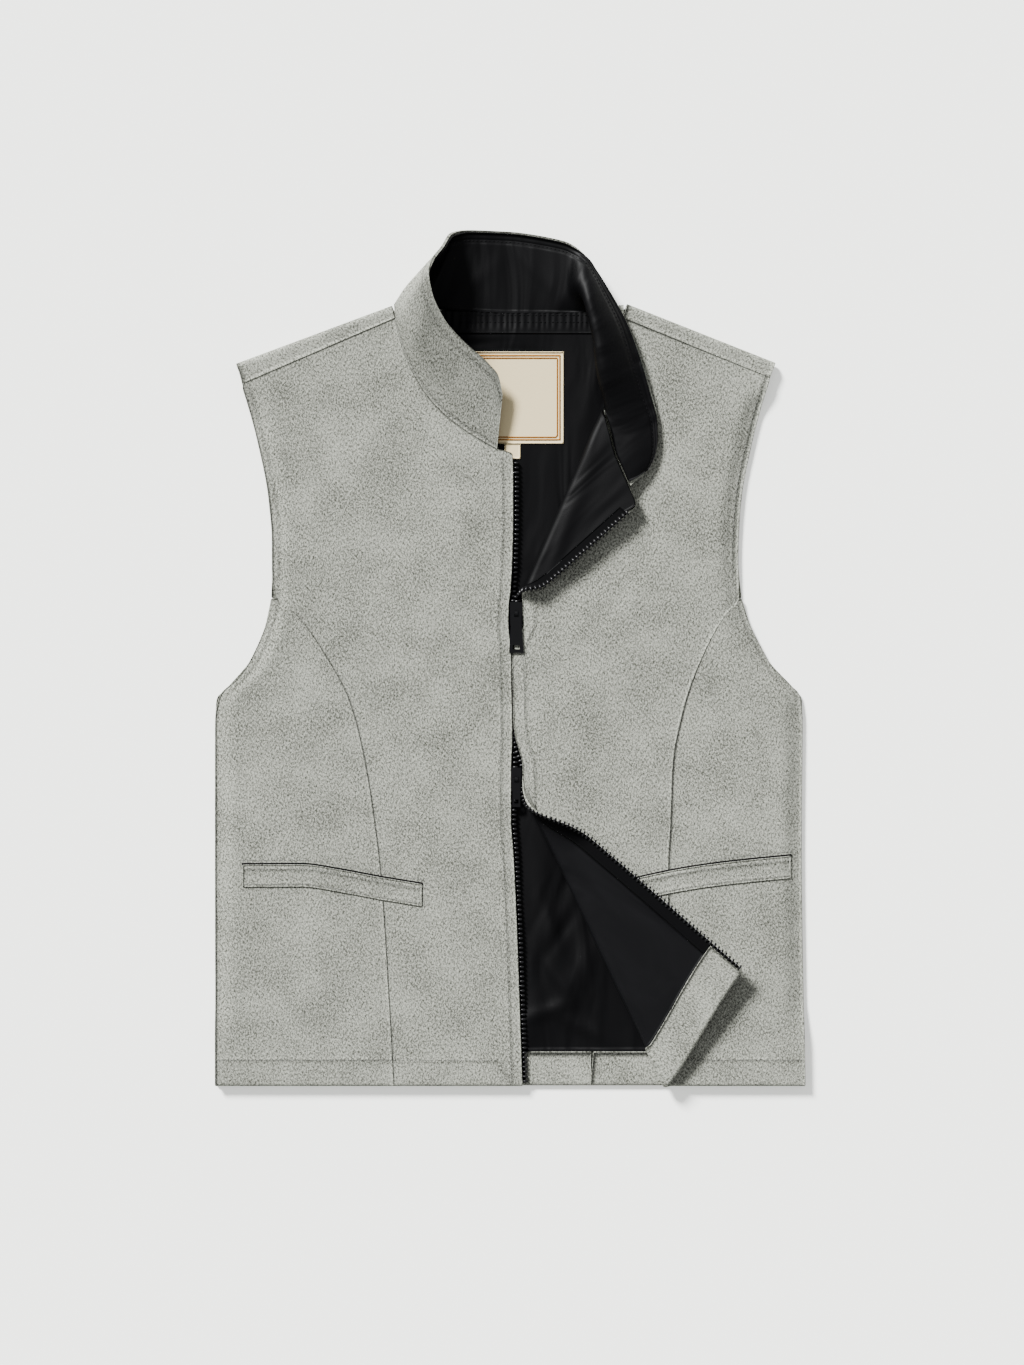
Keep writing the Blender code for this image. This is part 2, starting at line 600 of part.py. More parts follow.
def add_back(wool):
    shoulder_count, upper_rows = 5, 6
    right = shoulder_row(RIGHT_SHOULDER, 0, 0, shoulder_count)
    left = shoulder_row(LEFT_SHOULDER, 0, 0, shoulder_count)[::-1]
    neck = [(across, BACK_NECK + (right[-1][1] - BACK_NECK) * (abs(across) / 100) ** 2 - SEAM_GAP)
            for across in spread(right[-1][0], left[0][0], 9)[1:-1]]
    top = right + neck + left

    def edge(side, sign):
        start = right[0] if side == "right" else left[-1]
        points = [start]
        for up in spread(start[1], CHEST_LINE, upper_rows)[1:] + BACK_HEIGHTS:
            table = BODY_SIDE if up >= CHEST_LINE else BACK_PRINCESS_SEAM
            points.append((sign * (smooth(table, side, up) - SEAM_GAP / 2), up))
        return points

    left_edge, right_edge = edge("right", -1), edge("left", 1)
    bottom = row_between(left_edge[-1], right_edge[-1], len(top))
    sheet = coons(top, bottom, left_edge, right_edge)
    for up in hem_rows(HEM_TURN_UP)[1:]:
        sheet.append([(point[0], up) for point in bottom])
    flaps = [shoulder_flap(RIGHT_SHOULDER, shoulder_count), shoulder_flap(LEFT_SHOULDER, shoulder_count)]
    wall("back_centre", [sheet] + flaps, lay_back, WOOL, 0, wool)

    for side, sign in (("right", -1), ("left", 1)):
        sheet = []
        for up in BACK_HEIGHTS + hem_rows(HEM_TURN_UP)[1:]:
            laid = max(hem_turned(0, up, 0, 1)[0], 0)
            seam = smooth(BACK_PRINCESS_SEAM, side, laid) + SEAM_GAP / 2
            edge_at = max(smooth(BODY_SIDE, side, laid), seam + 0.6)
            sheet.append(row_between((sign * seam, up), (sign * edge_at, up), 4))
        wall("back_side_" + side, [sheet], lay_back, WOOL, 0, wool)


def add_back_lining(satin, label_cloth):
    """The back's lining, from the neck seam to the hem turn-up, with the label sewn on it."""
    margin = 26.0
    sheet = []
    for up in spread(BACK_LINING_TOP, HEM_TURN_UP + 1.0, 26):
        half_right = min(smooth(BODY_SIDE, "right", up), 98 + (BACK_LINING_TOP - up) * 2.0) - margin
        half_left = min(smooth(BODY_SIDE, "left", up), 98 + (BACK_LINING_TOP - up) * 2.0) - margin
        columns = spread(-half_right, -20, 5) + [0, 12, 24, 36, 50, 66] + spread(84, half_left, 4)
        if half_left < 100:
            columns = spread(-half_right, half_left, 15)
        sheet.append([(across, up) for across in columns])
    wall("back_lining", [sheet], lay_back_lining, SATIN, 0, satin)

    left, right = LABEL_CENTRE - LABEL_WIDTH / 2, LABEL_CENTRE + LABEL_WIDTH / 2
    label = [row_between((left, up), (right, up), 5)
             for up in spread(LABEL_BOTTOM, LABEL_BOTTOM + LABEL_HEIGHT, 4)]
    low = SATIN + SEAM_GAP
    wall("neck_label", [label], lay_back_lining, low + LABEL_THICKNESS, low, label_cloth)
    foot = LABEL_BOTTOM - SEAM_GAP
    tab = [row_between((LABEL_CENTRE - TAB_WIDTH / 2 + 3, up), (LABEL_CENTRE + TAB_WIDTH / 2 + 3, up), 2)
           for up in (foot - TAB_HEIGHT, foot)]
    wall("size_tab", [tab], lay_back_lining, low + LABEL_THICKNESS, low, label_cloth)


def collar_row(at):
    """The collar's section row at a place between two rows of the neck table."""
    places = np.arange(len(NECK), dtype=float)
    return NeckRow(*(monotone(places, np.array([getattr(row, name) for row in NECK], float), at)
                     for name in NeckRow._fields))


def collar_section(at, shares):
    """Points of the collar's outside from the neck seam over its roll to its upper edge."""
    row = collar_row(at)
    seam = np.array([row.across, row.up, row.height])
    if at > SHOULDER_LEFT_ROW:
        seam = np.array(lay_left_front(row.across, row.up, 0))
    roll = np.array([row.roll_across, row.roll_up, row.roll_height])
    edge = np.array([row.edge_across, row.edge_up, row.edge_height])
    seam += (roll - seam) * row.clear / np.linalg.norm(roll - seam)
    pull = (8 * roll - seam - edge) / 6
    onward = roll - (seam + edge) / 2
    over = np.array([0, 0, 1]) - onward * onward[2] / onward.dot(onward)
    over *= row.roll_width / np.linalg.norm(over)
    return [seam * (1 - share) ** 3 + (pull - over) * 3 * share * (1 - share) ** 2
            + (pull + over) * 3 * share ** 2 * (1 - share) + edge * share ** 3 for share in shares]


def collar_wall(name, grid, normal, outer, inner, material):
    """A wall of the collar between two depths inside its outer face."""
    near = (grid + normal * outer).reshape(-1, 3)
    far = (grid + normal * inner).reshape(-1, 3)
    rows, columns = grid.shape[:2]
    faces = []
    for i in range(rows - 1):
        for j in range(columns - 1):
            a, b = i * columns + j, (i + 1) * columns + j
            faces += [[a, b, b + 1], [a, b + 1, a + 1]]
    return close_wall(name, [tuple(p) for p in far], [tuple(p) for p in near], faces, material)


def add_collar(wool, satin):
    """The collar's wool, and its lining made from the same points and held back from the edges."""
    last = len(NECK) - 1
    starts = [0, 0.15] + NECK_STATIONS[1:-1] + [last - 0.15, last]
    shares = [0, 0.03, 0.14, 0.26, 0.36, 0.44, 0.52, 0.6, 0.7, 0.82, 0.95, 1]
    grid = np.array([collar_section(at, shares) for at in starts])
    normal = np.cross(np.gradient(grid, axis=0), np.gradient(grid, axis=1))
    normal /= np.linalg.norm(normal, axis=2, keepdims=True)
    collar_wall("collar_wool", grid, normal, 0, WOOL, wool)
    inset = WOOL + 2 * SEAM_GAP
    collar_wall("collar_lining", grid[1:-1, 1:-1], normal[1:-1, 1:-1], inset, inset + SATIN, satin)


def add_welts(wool):
    """Each pocket's welt, a strip on its front that follows the slanted pocket mouth."""
    for side, table, lay in (("right", RIGHT_WELT, lay_right_front), ("left", LEFT_WELT, lay_left_front)):
        sheet = []
        for depth in spread(0, WELT_DEPTH, 4):
            sheet.append([(across, smooth(table, "top", across) - depth)
                          for across in spread(table[0].across, table[-1].across, 13)])
        wall(side + "_pocket_welt", [sheet], lay, SEAM_GAP + WOOL, SEAM_GAP, wool)


def add_zip_tapes(right_sheet, left_sheet, woven):
    """A tape behind each front edge, laid along the last stretch of the front's rows.

    It reaches past the cloth where the zip is open, and hangs a little looser above the slider.
    """
    top = -WOOL - TAPE_GAP
    for side, sheet, lay in (("right", right_sheet, lay_right_front), ("left", left_sheet, lay_left_front)):
        sign = 1 if side == "right" else -1
        rims = [row[-2:] for row in sheet if 6.0 < row[-1][1] < ZIP_EDGE[-1].up - 0.5]
        tape = []
        for number, (rim, edge) in enumerate(rims):
            width = math.dist(rim, edge)
            reach = smooth(ZIP_EDGE, side + "_reach", edge[1])
            shares = (0, 1 + (min(reach, 0) - SEAM_GAP) / width, 1 + reach / width)
            tape.append([(sign * share, -number) for share in shares])

        def lay_tape(share, number, depth):
            rim, edge = rims[round(-number)]
            slack = TAPE_SLACK * ramp(edge[1], 419, 6) * (1 - ramp(edge[1], 439, 16))
            return mix(lay(*rim, depth - slack), lay(*edge, depth - slack), sign * share)

        wall("zip_tape_" + side, [tape], lay_tape, top, top - TAPE, woven)


def profile_along(name, outline, start, end, material):
    """A closed outline in across and height, extruded along up."""
    count = len(outline)
    points = [(x, start, z) for x, z in outline] + [(x, end, z) for x, z in outline]
    faces = [list(range(count)), list(range(2 * count - 1, count - 1, -1))]
    faces += [[(i + 1) % count, i, i + count, (i + 1) % count + count] for i in range(count)]
    return add_body(name, points, faces, material, smooth_shade=False)


def slider_outline(size):
    """Cross-section of a slider: two plates with lips, joined by the post between them."""
    half, post = size.width / 2, 0.8
    low = SLIDER_FLOOR
    floor_top = low + SLIDER_PLATE
    lip_low = floor_top + SLIDER_LIP
    lip_high = lip_low + SLIDER_SLIT
    roof = lip_high + SLIDER_LIP
    top = roof + SLIDER_PLATE
    right = [(half, low), (half, lip_low), (half - 1, lip_low), (half - 1, floor_top), (post, floor_top),
             (post, roof), (half - 1, roof), (half - 1, lip_high), (half, lip_high), (half, top)]
    left = [(-x, z) for x, z in reversed(right)]
    return [(x + size.across, z) for x, z in right + left], top


def add_slider(name, size, metal):
    """A slider with the arch that holds its pull tab; its pull tab hinges on an axis across it."""
    outline, top = slider_outline(size)
    body = profile_along(name, outline, size.up - size.length / 2, size.up + size.length / 2, metal)
    arch = []
    outer, inner = ARCH_RADIUS + ARCH_THICKNESS / 2, ARCH_RADIUS - ARCH_THICKNESS / 2
    axis_height = top + 1.3
    ring = [(outer * math.cos(t), outer * math.sin(t)) for t in spread(0, math.pi, 9)]
    ring = [(outer, -1.6)] + ring + [(-outer, -1.6), (-inner, -1.6)]
    ring += [(inner * math.cos(t), inner * math.sin(t)) for t in spread(math.pi, 0, 9)] + [(inner, -1.6)]
    half = ARCH_WIDTH / 2
    count = len(ring)
    for across in (size.across - half, size.across + half):
        arch += [(across, size.up + y, axis_height + z) for y, z in ring]
    faces = [list(range(count - 1, -1, -1)), list(range(count, 2 * count))]
    faces += [[i, (i + 1) % count, (i + 1) % count + count, i + count] for i in range(count)]
    bridge = add_body(name + "_arch", arch, faces, metal, smooth_shade=False)
    bridge.hide_render = True
    bridge.display_type = "WIRE"
    join = body.modifiers.new("arch", "BOOLEAN")
    join.operation = "UNION"
    join.object = bridge
    return axis_height


def add_pull_tab(name, size, axis_height, metal):
    """A flat tab with a bar that turns under the slider's arch, a window for the arch and a slot."""
    window, reach = 1.9, ARCH_RADIUS + ARCH_THICKNESS / 2 + 0.5
    half = PULL_THICKNESS / 2
    levels = [PULL_BAR / 2, -PULL_BAR / 2, -reach, -size.pull_length + 6.5, -size.pull_length + 3.0,
              -size.pull_length]
    points, faces = [], []
    for height in (half, -half):
        for level in levels:
            share = min(max((-level - reach) / (size.pull_length - reach), 0), 1)
            wide = (size.pull_top + (size.pull_foot - size.pull_top) * share) / 2
            slot = window if level >= -reach else min(window + 1.2, wide - 1.6)
            for across in (-wide, -slot, slot, wide):
                thick = height if level < -PULL_BAR else math.copysign(PULL_BAR / 2, height)
                points.append((size.across + across, size.up + level, axis_height + thick))
    count = len(levels) * 4
    for i in range(len(levels) - 1):
        for j in range(3):
            if j == 1 and i in (1, 3):
                continue
            a = i * 4 + j
            faces.append([a, a + 4, a + 5, a + 1])
    return close_wall(name, points[:count], points[count:], faces, metal)


def build():
    for old in list(bpy.data.objects):
        bpy.data.objects.remove(old)
    wool = fabric("wool", (0.39, 0.395, 0.36), 0.95)
    satin = fabric("satin", (0.012, 0.012, 0.014), 0.35)
    woven = fabric("zip_tape", (0.01, 0.01, 0.011), 0.8)
    label_cloth = fabric("label_cloth", (0.75, 0.66, 0.48), 0.8)
    metal = fabric("slider_metal", (0.02, 0.02, 0.021), 0.3, 0.9)

    add_back(wool)
    add_back_lining(satin, label_cloth)
    right_sheet = add_right_front(wool)
    left_sheet = add_left_front(wool, satin)
    add_welts(wool)
    add_collar(wool, satin)
    add_zip_tapes(right_sheet, left_sheet, woven)
    for place, size in (("upper", UPPER_SLIDER), ("lower", LOWER_SLIDER)):
        axis_height = add_slider("slider_" + place, size, metal)
        add_pull_tab("pull_tab_" + place, size, axis_height, metal)


build()
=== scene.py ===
"""The looks of the grey wool zip vest, laid flat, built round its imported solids.

Lengths are millimetres in the garment's own frame until metres() turns them into metres: across is
measured from the zip line, up from the hem, and height from the surface the vest lies on. Right and
left are the wearer's, so the wearer's right front lies at -across, with its outside up.
"""

import math
from collections import namedtuple

import bpy
import numpy as np
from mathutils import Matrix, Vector


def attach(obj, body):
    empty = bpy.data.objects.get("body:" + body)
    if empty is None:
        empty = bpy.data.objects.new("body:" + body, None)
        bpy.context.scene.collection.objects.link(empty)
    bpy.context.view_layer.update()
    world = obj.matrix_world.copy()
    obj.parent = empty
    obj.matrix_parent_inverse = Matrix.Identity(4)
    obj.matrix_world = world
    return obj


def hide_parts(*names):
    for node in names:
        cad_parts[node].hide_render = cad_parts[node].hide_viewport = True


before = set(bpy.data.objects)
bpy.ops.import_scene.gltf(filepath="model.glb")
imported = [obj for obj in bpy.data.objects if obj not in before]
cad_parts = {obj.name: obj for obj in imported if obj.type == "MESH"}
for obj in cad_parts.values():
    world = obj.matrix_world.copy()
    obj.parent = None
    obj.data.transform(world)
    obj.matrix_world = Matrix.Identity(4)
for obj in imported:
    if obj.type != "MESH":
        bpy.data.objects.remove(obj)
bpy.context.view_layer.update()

# How the real vest is cut and how it lies. Its back rests on the floor, wraps over both shoulders
# and meets the fronts at forward seams. Both fronts lie over it, the left one with its top and
# bottom corners turned back. These are the sizes its pattern and its solids share.
WOOL = 2.0
SATIN = 1.0
TAPE = 0.6
SEAM_GAP = 0.3
LINING_LEVEL = WOOL + SEAM_GAP
SHOULDER_RADIUS = 4.6
FRONT_TOP = 2 * SHOULDER_RADIUS
HEM_RADIUS = WOOL + SEAM_GAP / 2
HEM_ARC = math.pi * HEM_RADIUS
HEM_TURN_UP = 29.0
CORNER_TURN_UP = 36.0
SIDE_DROP = FRONT_TOP - (2 * WOOL + SEAM_GAP)
SIDE_ROUND = 18.0
BACK_NECK = 669.5
CHEST_LINE = 424.5
SHOULDER_ARC = math.pi * SHOULDER_RADIUS
# How much narrower a shoulder gets at its neck end with each millimetre past its bend line.
NECK_PINCH = 0.08
# The least width of a side panel, where its princess seam runs out into the armhole.
LEAST_PANEL = 0.6
# The middle of the vest, which the frame has at its origin.
MIDDLE_ACROSS = -0.05
MIDDLE_UP = 370.72

# A change that comes in gradually up the body: where it starts, and the length it takes.
Fade = namedtuple("Fade", "start length")
SIDES_ROUND_FROM = Fade(38.0, 40.0)
SIDES_ROUND_UNTIL = Fade(580.0, 30.0)
RIDGES_FROM = Fade(20.0, 50.0)

SideRow = namedtuple("SideRow", "up right left")
BODY_SIDE = [
    SideRow(0.0, 255.2, 255.5),
    SideRow(212.0, 255.6, 252.6),
    SideRow(331.0, 255.5, 253.5),
    SideRow(339.8, 250.3, 250.3),
    SideRow(355.9, 233.8, 232.5),
    SideRow(378.9, 219.9, 218.1),
    SideRow(419.7, 207.3, 201.3),
    SideRow(464.0, 206.0, 197.7),
    SideRow(508.4, 209.1, 200.4),
    SideRow(556.2, 218.1, 209.2),
    SideRow(607.9, 232.0, 223.2),
    SideRow(627.0, 237.2, 229.9),
]
PRINCESS_SEAM = [
    SideRow(0.0, 100.8, 141.5),
    SideRow(79.1, 105.1, 137.6),
    SideRow(186.0, 112.4, 136.8),
    SideRow(230.3, 117.7, 139.0),
    SideRow(278.0, 125.2, 140.8),
    SideRow(331.1, 138.2, 151.2),
    SideRow(378.9, 163.4, 169.6),
    SideRow(411.0, 187.7, 188.6),
    SideRow(CHEST_LINE, 206.6, 200.9),
]
BACK_PRINCESS_SEAM = [
    SideRow(0.0, 70.0, 70.0),
    SideRow(230.0, 92.0, 92.0),
    SideRow(360.0, 150.0, 148.0),
    SideRow(CHEST_LINE, 206.6, 200.9),
]

# The front edges: how far across the right and the left front's zip edge lies at each height, and
# how far the zip tape reaches past it.
EdgeRow = namedtuple("EdgeRow", "up right left right_reach left_reach")
ZIP_EDGE = [
    EdgeRow(3.5, 10.4, 17.6, 2.5, 2.5),
    EdgeRow(38.0, 9.2, 16.6, 2.5, 2.5),
    EdgeRow(150.0, 5.2, 13.2, 2.5, 2.5),
    EdgeRow(203.0, 2.6, 12.2, 2.5, 2.5),
    EdgeRow(232.0, 0.6, 11.6, 2.5, 2.5),
    EdgeRow(250.0, 0.6, 11.6, 3.6, -1.0),
    EdgeRow(266.0, 0.6, 11.6, 3.6, -1.0),
    EdgeRow(278.0, 0.7, 11.4, 3.6, 0.7),
    EdgeRow(290.0, 1.2, 8.6, 2.6, 2.6),
    EdgeRow(302.0, 1.6, 5.2, 1.0, 1.0),
    EdgeRow(317.0, 1.6, 3.5, 0.3, 0.3),
    EdgeRow(348.0, 0.9, 2.9, 0.3, 0.3),
    EdgeRow(373.7, 0.7, 2.4, 0.3, 0.3),
    EdgeRow(382.0, 0.0, 4.2, 1.2, 1.2),
    EdgeRow(394.0, -1.2, 9.4, 4.0, 4.0),
    EdgeRow(400.0, -1.7, 11.7, 4.0, 4.0),
    EdgeRow(420.0, -1.2, 11.7, 4.0, 4.0),
    EdgeRow(427.0, 0.0, 10.0, 3.0, -1.0),
    EdgeRow(434.0, 0.4, 7.6, 3.0, -1.0),
    EdgeRow(445.0, 1.2, 4.4, 3.0, -1.0),
    EdgeRow(508.4, 2.6, 2.4, 3.0, -1.0),
    EdgeRow(547.5, 1.7, 1.7, 3.0, -1.0),
]

# The neck seam from the right front's corner round the back to the left front's corner, and the
# points where the collar's outside rolls and where it ends. The left front's rows are given before
# its corner is turned back. Where the collar folds over on itself the roll has a width.
NeckRow = namedtuple("NeckRow", "across up height roll_across roll_up roll_height"
                     " edge_across edge_up edge_height roll_width clear")
NECK = [
    NeckRow(-11.3, 551.8, 9.2, -8.9, 575, 14.6, -6.4, 598.3, 16.7, 0, 0.6),
    NeckRow(-20.9, 557, 9.2, -15.4, 585.4, 16.7, -9.8, 614.1, 20.8, 0, 0.6),
    NeckRow(-39.1, 568.3, 9.2, -28.9, 596.2, 19.3, -18.6, 624.7, 25.8, 0, 0.6),
    NeckRow(-60, 584.8, 9.2, -49.9, 612.5, 23.5, -39.1, 642.2, 31.4, 0, 0.6),
    NeckRow(-77.3, 605.7, 9.2, -68, 631.4, 29.6, -56.7, 662.2, 38.4, 0, 0.6),
    NeckRow(-92.1, 636.1, 9.2, -82.5, 654.1, 37.3, -66.7, 683.9, 46.5, 0, 0.6),
    NeckRow(-99.1, 661.3, 9.2, -89.4, 674.2, 39.4, -69.4, 700.8, 50.3, 0, 0.6),
    NeckRow(-100.9, 677.4, 4.6, -89.5, 688.8, 34.4, -66.5, 711.8, 47.5, 0, 0.6),
    NeckRow(-90, 673.8, 0.3, -73.9, 699.5, 18.5, -58.7, 723.9, 38.6, 0, 0.6),
    NeckRow(-69.5, 673.4, 0, -59.6, 707.9, 3.4, -50.9, 738.3, 17, 0, 0.6),
    NeckRow(-41.7, 671.4, 0, -37.9, 707.2, 1.2, -34.3, 742.2, 4.3, 0, 0.6),
    NeckRow(0, 669.5, 0, 0, 705.5, 0.4, 0, 741, 1.1, 0, 0.6),
    NeckRow(43.5, 670.9, 0, 50.3, 697.9, 6, 51.1, 730.7, 7, 0, 0.6),
    NeckRow(66, 673.2, 0, 58.7, 693.8, 18, 62.4, 720.8, 10, 3, 0.6),
    NeckRow(84, 673.8, 0.4, 64, 686.1, 25, 72.7, 706.7, 12, 7, 0.6),
    NeckRow(99.2, 677.4, 4.6, 67.9, 673.6, 29, 83.4, 690, 14, 9, 0.6),
    NeckRow(97.3, 649.1, 9.2, 75.2, 645.8, 31, 100.3, 659.8, 14, 10, 0.6),
    NeckRow(91.2, 619.6, 9.2, 79.6, 618.5, 29, 111.6, 631.3, 13, 9, 0.9),
    NeckRow(82.6, 587.4, 9.2, 90, 592.5, 20, 122, 597.6, 12.5, 5, 3),
    NeckRow(60.5, 573.1, 9.2, 106.3, 567.1, 15.5, 127.6, 576, 12.5, 0, 1.6),
    NeckRow(47, 565.9, 9.2, 108.9, 553.3, 15.5, 128, 562.2, 12.5, 0, 0.6),
    NeckRow(32.8, 560.9, 9.2, 111.5, 538.6, 15.5, 125.5, 548.3, 12.5, 0, 0.6),
    NeckRow(18.5, 555.8, 9.2, 108, 523.9, 15.5, 116.8, 530.1, 13, 0, 0.6),
]
SHOULDER_RIGHT_ROW = 6
SHOULDER_LEFT_ROW = 16
# Places in the neck table with a section: every half row, and more where the collar folds sharply.
NECK_STATIONS = sorted([i / 2 for i in range(2 * len(NECK) - 1)]
                       + [17.75, 18.25, 18.75, 19.25])

# The two creases along which the left front's corners are turned back. The corner lies to the left
# of the line from its first point to its last, and the turn fades out between the named distances.
Crease = namedtuple("Crease", "across up end_across end_up radius angle start fade_in end fade_out")
LAPEL_CREASE = Crease(12.8, 420.0, 85.5, 586.1, 2.0, 174, -4.0, 22.0, 178.0, 26.0)
CORNER_CREASE = Crease(135.8, 7.4, 25.4, 238.5, 2.0, 174, -60.0, 1.0, 212.0, 95.0)
# The left front's hem corner is drawn up the front a little, most at the zip and at the hem.
CORNER_LIFT = 13.0
LIFT_STARTS_ACROSS = 138.0
LIFT_GROWS_OVER = 125.0
LIFT_ENDS_UP = 220.0

# The shoulder line, where the back folds over to the front, and the forward seam it reaches.
Shoulder = namedtuple("Shoulder", "tip_across tip_up neck_across neck_up tip_seam neck_seam")
RIGHT_SHOULDER = Shoulder(-237.2, 626.5, -102.8, 676.5, 18.2, 11.1)
LEFT_SHOULDER = Shoulder(229.9, 627.2, 101.8, 678.0, 14.0, 12.5)

# Soft ridges and hollows of the fronts.
Ridge = namedtuple("Ridge", "across up heading length width height")
RIDGES = [
    Ridge(-60, 480, 80, 120, 26, 0.9),
    Ridge(-150, 470, 60, 80, 22, 0.8),
    Ridge(-60, 230, 95, 150, 30, 0.8),
    Ridge(-190, 240, 85, 90, 26, 0.9),
    Ridge(-170, 90, 70, 70, 26, 0.7),
    Ridge(70, 330, 70, 110, 28, 0.9),
    Ridge(150, 480, 110, 90, 26, 0.8),
    Ridge(200, 260, 95, 90, 24, 0.9),
    Ridge(200, 90, 110, 70, 26, 0.8),
]

# The fronts' main creases: the soft roll beside the neck and the pull lines beside the lapel.
CREASES = [
    Ridge(-76.5, 640, 92, 36, 6, 1.2),
    Ridge(72, 552, 66, 20, 4, 0.8),
    Ridge(-30, 500, 65, 60, 10, 0.7),
    Ridge(-120, 560, 50, 60, 12, 0.7),
    Ridge(-170, 520, 95, 60, 10, 0.6),
    Ridge(150, 560, 130, 60, 12, 0.7),
    Ridge(120, 440, 60, 60, 9, 0.7),
    Ridge(60, 400, 50, 50, 9, 0.7),
    Ridge(-90, 130, 80, 60, 10, 0.6),
    Ridge(200, 330, 110, 60, 10, 0.6),
]

def curve(places, values, at):
    """A smooth curve through the values with no overshoot, held level past both ends."""
    steps = np.diff(places)
    slopes = np.diff(values) / steps
    bends = np.zeros(len(places))
    bends[0], bends[-1] = slopes[0], slopes[-1]
    before, after = slopes[:-1], slopes[1:]
    near, far = 2 * steps[1:] + steps[:-1], steps[1:] + 2 * steps[:-1]
    same = before * after > 0
    bends[1:-1][same] = ((near + far)[same]
                         / (near[same] / before[same] + far[same] / after[same]))
    at = np.clip(at, places[0], places[-1])
    i = np.clip(np.searchsorted(places, at, side="right") - 1, 0, len(steps) - 1)
    share = (at - places[i]) / steps[i]
    return (values[i] * (1 + 2 * share) * (1 - share) ** 2
            + steps[i] * bends[i] * share * (1 - share) ** 2
            + values[i + 1] * share ** 2 * (3 - 2 * share)
            + steps[i] * bends[i + 1] * share ** 2 * (share - 1))


def column(rows, name):
    """One named column of a table."""
    return np.array([getattr(row, name) for row in rows], dtype=float)


def read(rows, name, at):
    """A table's named column, read at values of its first column."""
    return curve(column(rows, rows[0]._fields[0]), column(rows, name), at)


def ramp(value, start, length):
    """Rises smoothly from 0 at start to 1 a length further on."""
    share = np.clip((value - start) / length, 0, 1)
    return share * share * (3 - 2 * share)


def bent(distance, depth, radius, angle, up=1):
    """How far on and how high cloth comes to lie when it is bent round a line, over or under."""
    turned = np.clip(distance / radius, 0, angle)
    rest = np.maximum(distance, 0) - turned * radius
    reach = radius - up * depth
    onward = reach * np.sin(turned) + rest * np.cos(turned)
    lift = up * (radius - reach * np.cos(turned) + rest * np.sin(turned))
    return np.where(distance > 0, onward, distance), np.where(distance > 0, lift, depth)


def hem_turned(up, depth, direction):
    """The hem: cloth below the hem line is turned over (back) or under (fronts)."""
    reach, lift = bent(HEM_RADIUS - up, depth, HEM_RADIUS, math.pi, direction)
    return HEM_RADIUS - reach, lift


def ridged(ridges, across, up):
    """Sum of the soft ridges and hollows at each point."""
    total = np.zeros(np.shape(across))
    for ridge in ridges:
        heading = math.radians(ridge.heading)
        dx, dy = across - ridge.across, up - ridge.up
        along = dx * math.cos(heading) + dy * math.sin(heading)
        aside = -dx * math.sin(heading) + dy * math.cos(heading)
        total = total + ridge.height * np.exp(-(along / ridge.length) ** 2 - (aside / ridge.width) ** 2)
    return total


def body_half(up, across):
    """Half width of the body at a height, on the side that across is on."""
    return np.where(across < 0, read(BODY_SIDE, "right", up), read(BODY_SIDE, "left", up))


def front_level(across, up):
    """Height of the fronts' outside: level, rounded down to the back at sides and armholes."""
    edge = 1 - ramp(body_half(up, across) - np.abs(across), 0, SIDE_ROUND)
    kept = ramp(up, *SIDES_ROUND_FROM) * (1 - ramp(up, *SIDES_ROUND_UNTIL))
    soft = ridged(RIDGES, across, up) * (1 - edge) * ramp(up, *RIDGES_FROM)
    return FRONT_TOP + soft + ridged(CREASES, across, up) - SIDE_DROP * edge * kept


def turned_back(crease, across, up, depth):
    """Takes cloth round a crease: which points turn, where their feet lie, and where they come to."""
    run = np.array([crease.end_across - crease.across, crease.end_up - crease.up])
    onward = run / np.linalg.norm(run)
    aside = (-onward[1], onward[0])
    dx, dy = across - crease.across, up - crease.up
    along = dx * onward[0] + dy * onward[1]
    distance = dx * aside[0] + dy * aside[1]
    share = ramp(along, crease.start, crease.fade_in) * (1 - ramp(along, crease.end, crease.fade_out))
    foot = (crease.across + onward[0] * along, crease.up + onward[1] * along)
    reach, lift = bent(distance, depth, crease.radius, np.maximum(math.radians(crease.angle) * share, 1e-6))
    return (distance > 0) & (share > 0), foot, foot[0] + aside[0] * reach, foot[1] + aside[1] * reach, lift


def lay_right_front(across, up, depth):
    up, depth = hem_turned(up, depth, -1)
    return across, up, front_level(across, up) + depth


def drawn_up(across, up):
    """The left front's hem corner comes to lie higher than its pattern."""
    return up + (CORNER_LIFT * ramp(LIFT_STARTS_ACROSS - across, 0, LIFT_GROWS_OVER)
                 * (1 - ramp(up, 0, LIFT_ENDS_UP)))


def lay_left_front(across, up, depth):
    up, depth = hem_turned(up, depth, -1)
    up = drawn_up(across, up)
    x, y, z = across, up, front_level(across, up) + depth
    for crease in (LAPEL_CREASE, CORNER_CREASE):
        turned, foot, onward, aside, lift = turned_back(crease, across, up, depth)
        x = np.where(turned, onward, x)
        y = np.where(turned, aside, y)
        z = np.where(turned, front_level(*foot) + lift, z)
    return x, y, z


def shoulder_frame(side):
    """A shoulder's tip on its bend line, its run, its outward direction and its length."""
    run = np.array([side.neck_across - side.tip_across, side.neck_up - side.tip_up])
    length = np.linalg.norm(run)
    onward = run / length
    outward = np.array([-onward[1], onward[0]]) * (1 if side.tip_across < 0 else -1)
    tip = np.array([side.tip_across, side.tip_up]) - outward * SHOULDER_RADIUS
    return tip, onward, outward, length


